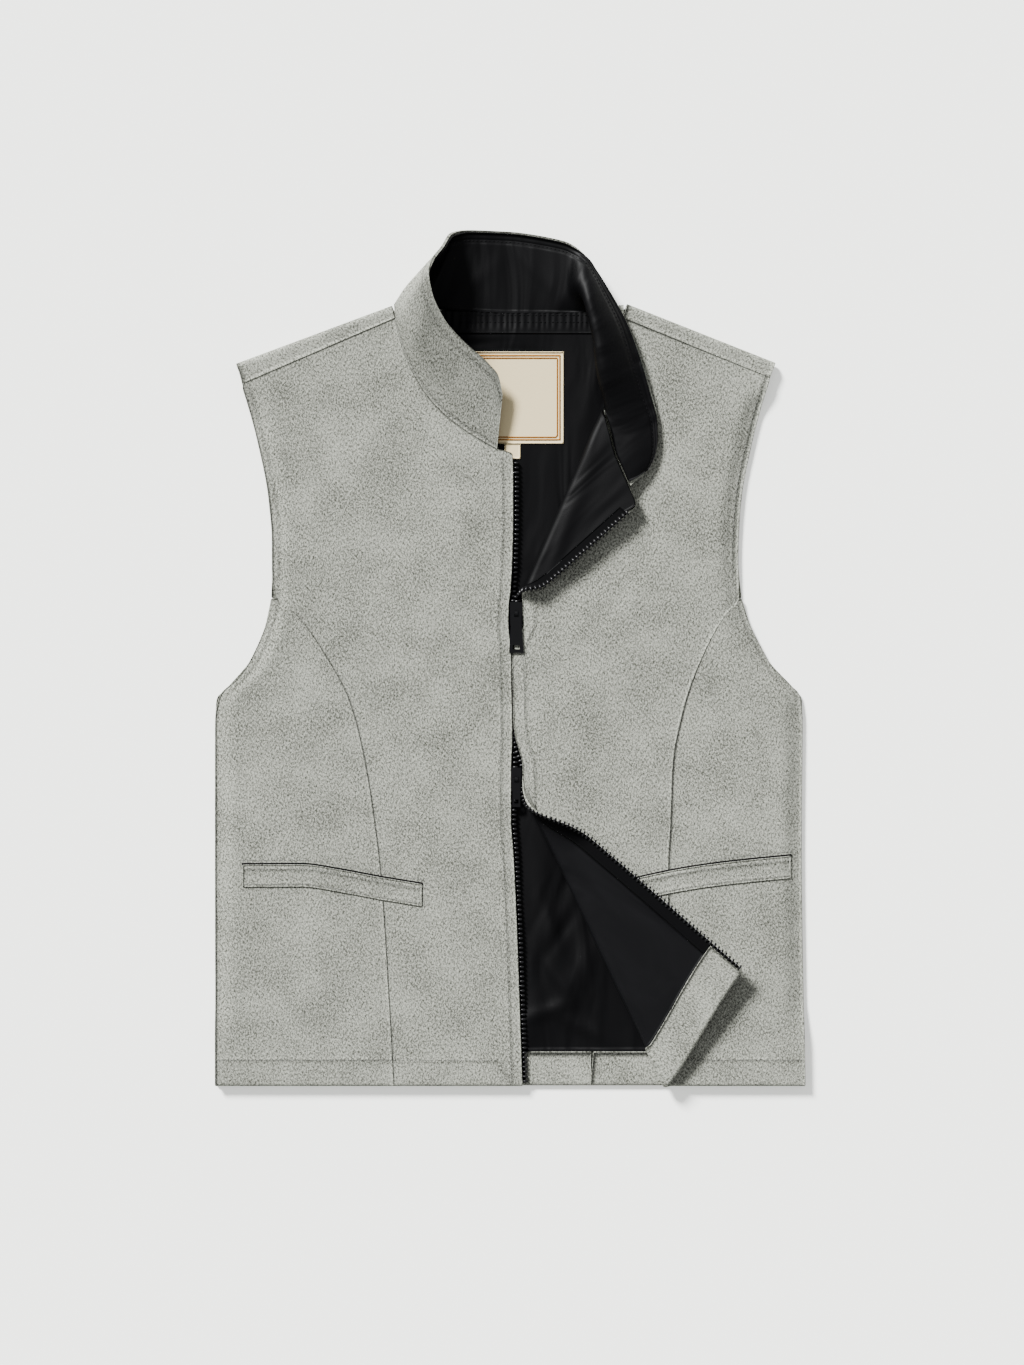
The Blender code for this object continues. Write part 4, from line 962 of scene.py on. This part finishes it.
def front_middle_rows(side, turn_up):
    """Ends of each row of a front's middle panel: on neck or zip edge, and on armhole or seam."""
    shoulder = RIGHT_SHOULDER if side == "right" else LEFT_SHOULDER
    last = 0 if side == "right" else len(NECK) - 1
    first = SHOULDER_RIGHT_ROW if side == "right" else SHOULDER_LEFT_ROW
    inner = neck_curve(first, last)
    inner += [(read(ZIP_EDGE, side, up), up) for up in (ZIP_EDGE[-1].up, 520.0, 490.0)]
    tip, onward, outward, length = shoulder_frame(shoulder)
    trim = NECK_PINCH * (shoulder.neck_seam + SHOULDER_RADIUS / 2)
    seam_tip = (np.array([shoulder.tip_across, shoulder.tip_up])
                - outward * (shoulder.tip_seam + SEAM_GAP))
    seam_neck = (np.array([shoulder.neck_across, shoulder.neck_up]) - onward * trim
                 - outward * (shoulder.neck_seam + SEAM_GAP))
    share = (seam_tip[1] - FIRST_ROW_UNDER_TIP - HEM_RADIUS) / (inner[0][1] - HEM_RADIUS)
    rows = [(tuple(seam_neck), tuple(seam_tip))]
    rows += [(point, front_outer(side, HEM_RADIUS + (point[1] - HEM_RADIUS) * share)) for point in inner]
    for up, height in zip(FRONT_HEIGHTS, SEAM_HEIGHTS):
        rows.append(((read(ZIP_EDGE, side, up), up), front_outer(side, height)))
    for up in hem_rows(turn_up)[1:]:
        laid = hem_turned(up, 0, -1)[0]
        slanted = HEM_RADIUS - (HEM_RADIUS - up) * SEAM_SLANT if up < -HEM_ARC else up
        edge = read(ZIP_EDGE, side, laid)
        outer = front_outer(side, max(laid * SEAM_SLANT, 0))[0]
        rows.append(((edge, up), (outer, slanted)))
    return rows


def front_side_sheet(side):
    """The side panel of a front, from its point on the armhole down to its hem's turn-up."""
    sign = -1 if side == "right" else 1
    sheet = []
    for up in SEAM_HEIGHTS + hem_rows(HEM_TURN_UP)[1:]:
        laid = max(hem_turned(up, 0, -1)[0], 0)
        seam = read(PRINCESS_SEAM, side, laid) + SEAM_GAP / 2
        edge = read(BODY_SIDE, side, laid)
        sheet.append(row_between((sign * seam, up), (sign * max(edge, seam + LEAST_PANEL), up), 5))
    return sheet


def front_sewing(side):
    """The rows of stitches on a front: beside the zip edge, along the hem and round the armhole."""
    sign = -1 if side == "right" else 1
    zip_row = [(read(ZIP_EDGE, side, up) + sign * ZIP_STITCHES_IN, up)
               for up in np.linspace(ZIP_STITCHES_TOP, ZIP_STITCHES_FOOT, 120)]
    hem_row = [(sign * across, HEM_STITCHES_UP)
               for across in np.linspace(HEM_STITCHES_FROM, HEM_STITCHES_TO, 60)]
    armhole = [(sign * (read(BODY_SIDE, side, up) - ARMHOLE_STITCHES_IN), up)
               for up in np.linspace(ARMHOLE_STITCHES_TOP, ARMHOLE_STITCHES_FOOT, 60)]
    return zip_row, hem_row, armhole


def partway(start, end, share):
    """The point a share of the way from one pattern point to another."""
    return tuple(np.array(start) * (1 - share) + np.array(end) * share)


def add_front(side, sheet, lay):
    """A front's two panels, sewn; returns its rows of sewing."""
    rows = front_sewing(side)
    zip_row, hem_row, armhole = rows
    marks = (away_from(zip_row + hem_row[:1]), away_from(hem_row), away_from(armhole))
    for part, panel, node in (("middle", sheet, "centre"), ("side", front_side_sheet(side), "side")):
        add_cloth(f"{side}_front_{part}_panel", [panel], lay, 0, -WOOL, WOOL_LOOK, 3.0, marks,
                  node=f"{side}_front_{node}")
    return rows


def add_right_front():
    sheet = []
    for inner, outer in front_middle_rows("right", HEM_TURN_UP):
        rim = min(ZIP_RIM / math.dist(inner, outer), MOST_RIM_SHARE)
        shares = list(np.linspace(0, 1 - rim, 7)) + [1]
        sheet.append([partway(outer, inner, share) for share in shares])
    rows = add_front("right", sheet, lay_right_front)
    stitches("right_front_stitches", [sewn_line(lay_right_front, 0.0, row) for row in rows])
    return sheet


right_sheet = add_right_front()


# The left front's top and bottom corners are turned back, so their linings, the hem's facing and the
# zip's inner side show. Each corner's satin lining reaches from its crease to the zip tape.
def crease_distance(crease, across, up):
    """How far a point lies past a crease, on the corner's side."""
    run = (crease.end_across - crease.across, crease.end_up - crease.up)
    return (run[0] * (up - crease.up) - run[1] * (across - crease.across)) / math.hypot(*run)


def creased_row(inner, outer):
    """A row of the left front's middle panel, its points bunched where a crease turns it back.

    Also says whether the row is turned back far enough to carry lining.
    """
    laid = [drawn_up(point[0], hem_turned(point[1], 0, -1)[0]) for point in (inner, outer)]
    crease = LAPEL_CREASE if inner[1] > CREASE_PARTING else CORNER_CREASE
    near = crease_distance(crease, inner[0], laid[0])
    far = crease_distance(crease, outer[0], laid[1])
    turned = max(near, LEAST_TURN)
    arc = min(math.pi * crease.radius, MOST_BEND_OF_TURN * turned)
    rim = turned - min(ZIP_RIM, MOST_RIM_OF_TURN * turned)
    levels = list(np.linspace(0, arc, 9)) + list(np.linspace(arc, rim, 4))[1:] + [turned]
    bent_shares = [1 - (turned - level) / (near - far) for level in levels]
    shares = list(np.linspace(0, bent_shares[0], 6))[:-1] + bent_shares
    return [partway(outer, inner, share) for share in shares], near > LINED_FROM_TURN


# Wrinkles of the turned corners' linings, where they are seen on the laid garment.
CORNER_WRINKLES = [
    Ridge(60, 190, -52, 60, 7, 0.9),
    Ridge(92, 150, -62, 60, 8, 1.0),
    Ridge(120, 118, -58, 50, 7, 0.8),
    Ridge(48, 224, -35, 26, 4, 0.9),
    Ridge(86, 110, -66, 50, 6, 0.9),
    Ridge(140, 70, -60, 36, 6, 0.8),
    Ridge(128, 150, -40, 34, 5, 0.6),
]
LAPEL_WRINKLES = [
    Ridge(64, 520, 68, 50, 7, 0.9),
    Ridge(46, 480, 72, 40, 6, 0.8),
    Ridge(84, 508, 40, 30, 5, 0.7),
    Ridge(70, 560, 80, 26, 5, 0.7),
]


def lay_turned_lining(across, up, depth):
    """The lining of a turned corner: laid like its wool, with its own wrinkles."""
    x, y, z = lay_left_front(across, up, depth)
    soft = ridged(CORNER_WRINKLES, x, y) + ridged(LAPEL_WRINKLES, x, y)
    return lay_left_front(across, up, depth - soft)


TurnedLining = namedtuple("TurnedLining", "node lowest highest look")
TURNED_LININGS = [
    TurnedLining("lapel_lining", 424.0, 592.0, SATIN_LOOK),
    # The bottom corner's lining takes the satin painted lighter: painted light.
    TurnedLining("corner_lining", CORNER_TURN_UP, 262.0, PAINTED_LIGHTER_SATIN_LOOK),
]
# The share of the zip's rim that a lining covers: little at the zip tape, most of it beside the neck.
REACH_AT_ZIP = 0.2
REACH_AT_NECK = 0.92
# The rows' points before this one lie on the front's outside, ahead of the crease.
FIRST_TURNED_POINT = 5


def add_left_front():
    rows = [creased_row(inner, outer) for inner, outer in front_middle_rows("left", CORNER_TURN_UP)]
    sheet = [row for row, is_lined in rows]
    zip_row, hem_row, armhole = add_front("left", sheet, lay_left_front)
    inset = -WOOL - SEAM_GAP
    for node, lowest, highest, look in TURNED_LININGS:
        lining = []
        for row, is_lined in rows:
            if is_lined and lowest < row[-1][1] < highest:
                reach = REACH_AT_NECK if row[-1][1] > ZIP_EDGE[-1].up - 1 else REACH_AT_ZIP
                lining.append(row[FIRST_TURNED_POINT:-1] + [partway(row[-2], row[-1], reach)])
        add_cloth(node + "_satin", [lining], lay_turned_lining, inset, inset - SATIN, look, 2.5, node=node)
    outside = [sewn_line(lay_left_front, 0.0, row) for row in (hem_row, armhole)]
    # The zip edge is stitched through, so its row shows on the outside and on the turned corners.
    outside += [sewn_line(lay_left_front, depth, zip_row) for depth in (0.0, -WOOL)]
    stitches("left_front_stitches", outside)
    return sheet


left_sheet = add_left_front()


# Each pocket has a welt, a folded strip stitched round its edge. Above it a strip of black thread is painted
# shade for the pocket's open mouth.
WeltRow = namedtuple("WeltRow", "across top")
RIGHT_WELT = [WeltRow(-231.0, 191.6), WeltRow(-181.0, 191.8), WeltRow(-145.0, 186.8),
              WeltRow(-112.0, 180.6), WeltRow(-76.5, 174.8)]
LEFT_WELT = [WeltRow(96.0, 176.6), WeltRow(142.0, 186.8), WeltRow(168.6, 191.2),
             WeltRow(204.2, 195.5), WeltRow(243.0, 199.2)]
WELT_DEPTH = 18.6
WELT_FACE, WELT_UNDERSIDE = 1.1, 0.1
# The stitches run round the pocket above, beside and below the welt, and along the welt's own edges.
ROUND_ABOVE, ROUND_BELOW = 4.2, 3.0
WELT_STITCHES_BELOW_TOP, WELT_STITCHES_ABOVE_FOOT, WELT_STITCHES_IN = 3.4, 2.0, 2.5
MOUTH_SHADE_GAPS = (1.5, 0.8, 0.1)
MOUTH_SHADE_LEVEL = 0.25


def add_welts():
    for side, table, lay in (("right", RIGHT_WELT, lay_right_front), ("left", LEFT_WELT, lay_left_front)):
        def row_at(depth, inset=0.0):
            """A row along the welt, a depth below its top and an inset in from both ends."""
            spots = np.linspace(table[0].across + inset, table[-1].across - inset, 40)
            return [(x, read(table, "top", x) - depth) for x in spots]

        sheet = [row_at(depth) for depth in np.linspace(0, WELT_DEPTH, 8)]
        over, below = row_at(-ROUND_ABOVE), row_at(WELT_DEPTH + ROUND_BELOW)
        ends = [[over[k], below[k]] for k in (0, -1)]
        edges = [row_at(WELT_STITCHES_BELOW_TOP, WELT_STITCHES_IN),
                 row_at(WELT_DEPTH - WELT_STITCHES_ABOVE_FOOT, WELT_STITCHES_IN)]
        add_cloth(side + "_pocket_welt_strip", [sheet], lay, WELT_FACE, WELT_UNDERSIDE, WOOL_LOOK, 2.0,
                  [away_from(edge) for edge in edges], node=side + "_pocket_welt")
        stitches(side + "_pocket_stitches",
                 [sewn_line(lay, THREAD_LIES_ON, row) for row in (over, *ends)]
                 + [sewn_line(lay, WELT_FACE, row) for row in edges])
        # A strip of black thread just above the welt: painted shade in the pocket's mouth.
        mouth_shade_rows = [metres(*lay(*np.array(row_at(-gap)).T, MOUTH_SHADE_LEVEL)) for gap in MOUTH_SHADE_GAPS]
        repeat_along(side + "_pocket_mouth_shade", mouth_shade_rows, STITCHES, 0.0012, (0.003, 0.0013, 0.0007),
                     DARK_THREAD_LOOK)


add_welts()


# The stand collar is one wool band from corner to corner with a satin lining inside it. It stands up
# round the wearer's right side and back, and folds over itself on the left.
COLLAR_LINING_INSET = 0.5
COLLAR_STITCHES_BELOW_TOP = 8.5
COLLAR_STITCHES_ABOVE_SEAM = 2.2
COLLAR_WRINKLES = [
    Ridge(-12, 706, 86, 30, 6, 0.8),
    Ridge(20, 708, 130, 26, 5, 0.9),
    Ridge(60, 700, 55, 34, 5, 1.0),
    Ridge(-60, 650, 70, 50, 9, 0.9),
    Ridge(-40, 690, 40, 30, 6, 0.8),
    Ridge(72, 640, 95, 40, 6, 0.8),
    Ridge(-34, 610, 55, 30, 6, 0.7),
]


def collar_grid(stations, shares):
    """Points of the collar's outside from the neck seam over its roll to its upper edge."""
    places = np.arange(len(NECK), dtype=float)
    rows = {name: curve(places, column(NECK, name), stations) for name in NeckRow._fields}
    seam = np.stack([rows["across"], rows["up"], rows["height"]], axis=-1)
    turned = stations > SHOULDER_LEFT_ROW
    laid = np.stack(lay_left_front(rows["across"], rows["up"], 0 * stations), axis=-1)
    seam = np.where(turned[:, None], laid, seam)
    roll = np.stack([rows["roll_across"], rows["roll_up"], rows["roll_height"]], axis=-1)
    edge = np.stack([rows["edge_across"], rows["edge_up"], rows["edge_height"]], axis=-1)
    toward = (roll - seam) / np.linalg.norm(roll - seam, axis=1, keepdims=True)
    seam = seam + toward * rows["clear"][:, None]
    pull = (8 * roll - seam - edge) / 6
    onward = roll - (seam + edge) / 2
    over = np.array([0, 0, 1]) - onward * (onward[:, 2] / (onward ** 2).sum(axis=1))[:, None]
    over *= rows["roll_width"][:, None] / np.linalg.norm(over, axis=1, keepdims=True)
    seam, pull, over, edge = (part[:, None] for part in (seam, pull, over, edge))
    share = shares[None, :, None]
    return (seam * (1 - share) ** 3 + (pull - over) * 3 * share * (1 - share) ** 2
            + (pull + over) * 3 * share ** 2 * (1 - share) + edge * share ** 3)


def add_collar():
    last = len(NECK) - 1
    stations = np.unique(np.concatenate([[0.15, last - 0.15], np.linspace(0, last, 177)]))
    shares = np.concatenate([[0, 0.03], np.linspace(0.08, 0.95, 26), [0.98, 1]])
    grid = collar_grid(stations, shares)
    normal = np.cross(np.gradient(grid, axis=0), np.gradient(grid, axis=1))
    normal /= np.maximum(np.linalg.norm(normal, axis=2, keepdims=True), 1e-9)
    steps = np.linalg.norm(np.diff(grid, axis=0), axis=2).mean(axis=1)
    length = np.concatenate([[0], np.cumsum(steps)])
    rise = np.concatenate([[0], np.cumsum(np.linalg.norm(np.diff(grid, axis=1), axis=2).mean(axis=0))])

    def at(along, high, depth):
        """Collar pattern coordinates, measured along the seam and up the band, to a place."""
        i = np.clip(np.interp(along, length, np.arange(len(length))), 0, len(length) - 1.001)
        j = np.clip(np.interp(high, rise, np.arange(len(rise))), 0, len(rise) - 1.001)
        a, b = np.floor(i).astype(int), np.floor(j).astype(int)
        u, v = (i - a)[..., None], (j - b)[..., None]

        def between(table):
            return (table[a, b] * (1 - u) * (1 - v) + table[a + 1, b] * u * (1 - v)
                    + table[a, b + 1] * (1 - u) * v + table[a + 1, b + 1] * u * v)

        place = between(grid) + between(normal) * np.asarray(depth)[..., None]
        return place[..., 0], place[..., 1], place[..., 2]

    def lay_collar(along, high, depth):
        """The wool lies as the band does, and the lining inside it has its own wrinkles."""
        inner = np.full(np.shape(along), -1.0) * depth
        x, y, z = at(along, high, inner)
        soft = np.where(inner > WOOL + SEAM_GAP / 2, ridged(COLLAR_WRINKLES, x, y), 0)
        return at(along, high, inner + soft)

    def band(stations, low, high, rows):
        return [[(along, up) for along in stations] for up in np.linspace(high, low, rows)]

    top = rise[-1]
    outer, inner = -WOOL - COLLAR_LINING_INSET, -WOOL - COLLAR_LINING_INSET - SATIN
    edge_row, foot_row = ([(along, up) for along in length[2:-2]]
                          for up in (top - COLLAR_STITCHES_BELOW_TOP, COLLAR_STITCHES_ABOVE_SEAM))
    near_edge, near_foot = (away_from(row[::6]) for row in (edge_row, foot_row))
    add_cloth("collar_outer_band", [band(length, 0.0, top, 24)], lay_collar, 0, -WOOL, WOOL_LOOK, 3.0,
              (near_edge, near_foot), node="collar_wool")
    add_cloth("collar_lining_band", [band(length[3:-3], 0.4, top - 2.0, 22)], lay_collar, outer, inner,
              SATIN_LOOK, 3.0, (near_edge,), node="collar_lining")
    stitches("collar_stitches", [sewn_line(lay_collar, 0.0, row) for row in (edge_row, foot_row)])
    stitches("collar_lining_stitches", [sewn_line(lay_collar, inner, edge_row)], DARK_THREAD_LOOK)


add_collar()


# The zip has a black woven tape on each front, sewn inside its edge, with moulded teeth along it. The
# rows of teeth meet between the two sliders and part past each of them.
TEETH_LOOK = plain_cloth("zip_teeth", (0.006, 0.006, 0.0066), 0.3, 600, 0.0001, 0.25)
TAPE_INSIDE = 1.0
TAPE_UNDER_CLOTH = 8.6
TAPE_ENDS_UP = (4.0, 540.0)
# The tape sags a little where the lapel's crease lets it go.
TAPE_SLACK = 1.2
SLACK_FROM = Fade(419.0, 6.0)
SLACK_UNTIL = Fade(439.0, 16.0)
TOOTH_OFFSET = 0.3


def add_zip_side(side, sheet, lay):
    """One tape and its teeth, along the last stretch of each row of a front's middle panel."""
    rims = finer([row[-2:] for row in sheet if 1.0 < row[-1][1] < ZIP_EDGE[-1].up + 0.5], 3.0)
    rims = rims[:, [0, -1]]
    rims = rims[(rims[:, 1, 1] > TAPE_ENDS_UP[0]) & (rims[:, 1, 1] < TAPE_ENDS_UP[1])]
    runs = np.linalg.norm(np.diff(rims[:, 1], axis=0), axis=1)
    along = np.concatenate([[0], np.cumsum(runs)])

    def parts(run):
        return [np.stack([np.interp(run, along, rims[:, k, axis]) for axis in (0, 1)], axis=-1)
                for k in (0, 1)]

    def lay_tape(beyond, run, depth):
        """beyond is how far past the cloth's edge a point of the tape lies."""
        rim, edge = parts(-np.asarray(run, dtype=float))
        width = np.linalg.norm(edge - rim, axis=-1)
        slack = TAPE_SLACK * ramp(edge[..., 1], *SLACK_FROM) * (1 - ramp(edge[..., 1], *SLACK_UNTIL))
        near = lay(rim[..., 0], rim[..., 1], depth - slack)
        far = lay(edge[..., 0], edge[..., 1], depth - slack)
        share = 1 + np.asarray(beyond) / width
        return tuple(a + (b - a) * share for a, b in zip(near, far))

    reach = read(ZIP_EDGE, side + "_reach", rims[:, 1, 1])
    top = -WOOL - TAPE_INSIDE
    tape = [[(beyond, -run) for beyond in np.linspace(-TAPE_UNDER_CLOTH, far, 8)]
            for run, far in zip(along, reach)]
    if side == "left":
        tape = [row[::-1] for row in tape]
    add_cloth("zip_tape_woven_" + side, [tape], lay_tape, top, top - TAPE, TAPE_LOOK, 4.0,
              node="zip_tape_" + side)
    fine = np.linspace(0, along[-1], 260)
    beyond = np.interp(fine, along, reach + TOOTH_OFFSET)
    middle, under = (metres(*lay_tape(beyond, -fine, top - TAPE / 2 - lower)) for lower in (0.0, 1.0))
    upward = middle - under
    upward /= np.linalg.norm(upward, axis=1, keepdims=True)
    repeat_along("zip_teeth_" + side, [middle], TEETH, 0.0041, (0.0023, 0.0052, 0.0026), TEETH_LOOK,
                 [upward])


add_zip_side("right", right_sheet, lay_right_front)
add_zip_side("left", left_sheet, lay_left_front)


# Two black metal sliders, each with a pull tab hinged in its arch. The tabs move, so they ride
# their own bodies.
METAL_LOOK = new_material("slider_metal", 0.3, 0.9)[1](base_color=(0.012, 0.012, 0.013, 1), coat_weight=0.03)
EDGE_ROUNDING = 0.00035
SHARP_ANGLE = math.radians(40)


def add_metal(name, node, body):
    """The solid's own shape with its edges softly rounded."""
    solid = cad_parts[node]
    mesh = bpy.data.meshes.new_from_object(solid)
    mesh.transform(solid.matrix_world)
    mesh.materials.clear()
    mesh.materials.append(METAL_LOOK)
    piece = shown(name, mesh)
    rounding = piece.modifiers.new("rounding", "BEVEL")
    rounding.width = EDGE_ROUNDING
    rounding.segments = 3
    rounding.limit_method = "ANGLE"
    rounding.angle_limit = SHARP_ANGLE
    piece.data = bpy.data.meshes.new_from_object(piece.evaluated_get(bpy.context.evaluated_depsgraph_get()))
    piece.modifiers.clear()
    piece.data.shade_smooth()
    piece.data.set_sharp_from_angle(angle=SHARP_ANGLE)
    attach(piece, body)
    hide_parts(node)


for place in ("upper", "lower"):
    add_metal("zip_slider_" + place, "slider_" + place, "vest")
    add_metal("zip_pull_" + place, "pull_tab_" + place, place + "_pull")


# The vest lies on a plain pale floor with a soft-edged light from the upper left, and is seen from
# straight above.
FLOOR_SHADE = (0.90, 0.91, 0.87)
FLOOR_HALF = 3.0
FLOOR_LEVEL = -0.0004
LIGHT_HEADING = Vector((0.95, -1.25, -1.0))
CAMERA_OVER_ACROSS, CAMERA_OVER_UP = 1.738, 349.77
CAMERA_HEIGHT = 2.80


def add_floor():
    finish = new_material("floor", 0.9)[1]
    look = finish(base_color=(*FLOOR_SHADE, 1), specular_ior_level=0.0,
                  emission_color=(*FLOOR_SHADE, 1), emission_strength=0.55)
    corners = [(FLOOR_HALF * x, FLOOR_HALF * y, FLOOR_LEVEL) for x, y in ((-1, -1), (1, -1), (1, 1), (-1, 1))]
    add_mesh("floor", corners, [(0, 1, 2, 3)], look, np.zeros((4, 2)))


def add_light():
    world = bpy.data.worlds.new("studio")
    world.use_nodes = True
    sky = world.node_tree.nodes["Background"].inputs
    sky["Color"].default_value = (0.97, 0.98, 1.0, 1)
    sky["Strength"].default_value = 0.65
    bpy.context.scene.world = world
    sun = bpy.data.objects.new("window_light", bpy.data.lights.new("window_light", "SUN"))
    sun.data.energy = 15.5
    sun.data.angle = math.radians(14)
    sun.rotation_euler = LIGHT_HEADING.to_track_quat("-Z", "Y").to_euler()
    bpy.context.scene.collection.objects.link(sun)


def add_camera():
    camera = bpy.data.objects.new("camera", bpy.data.cameras.new("camera"))
    camera.data.lens = 85
    camera.location = metres(CAMERA_OVER_ACROSS, CAMERA_OVER_UP, 1000 * CAMERA_HEIGHT).tolist()
    bpy.context.scene.collection.objects.link(camera)
    bpy.context.scene.camera = camera


add_floor()
add_light()
add_camera()
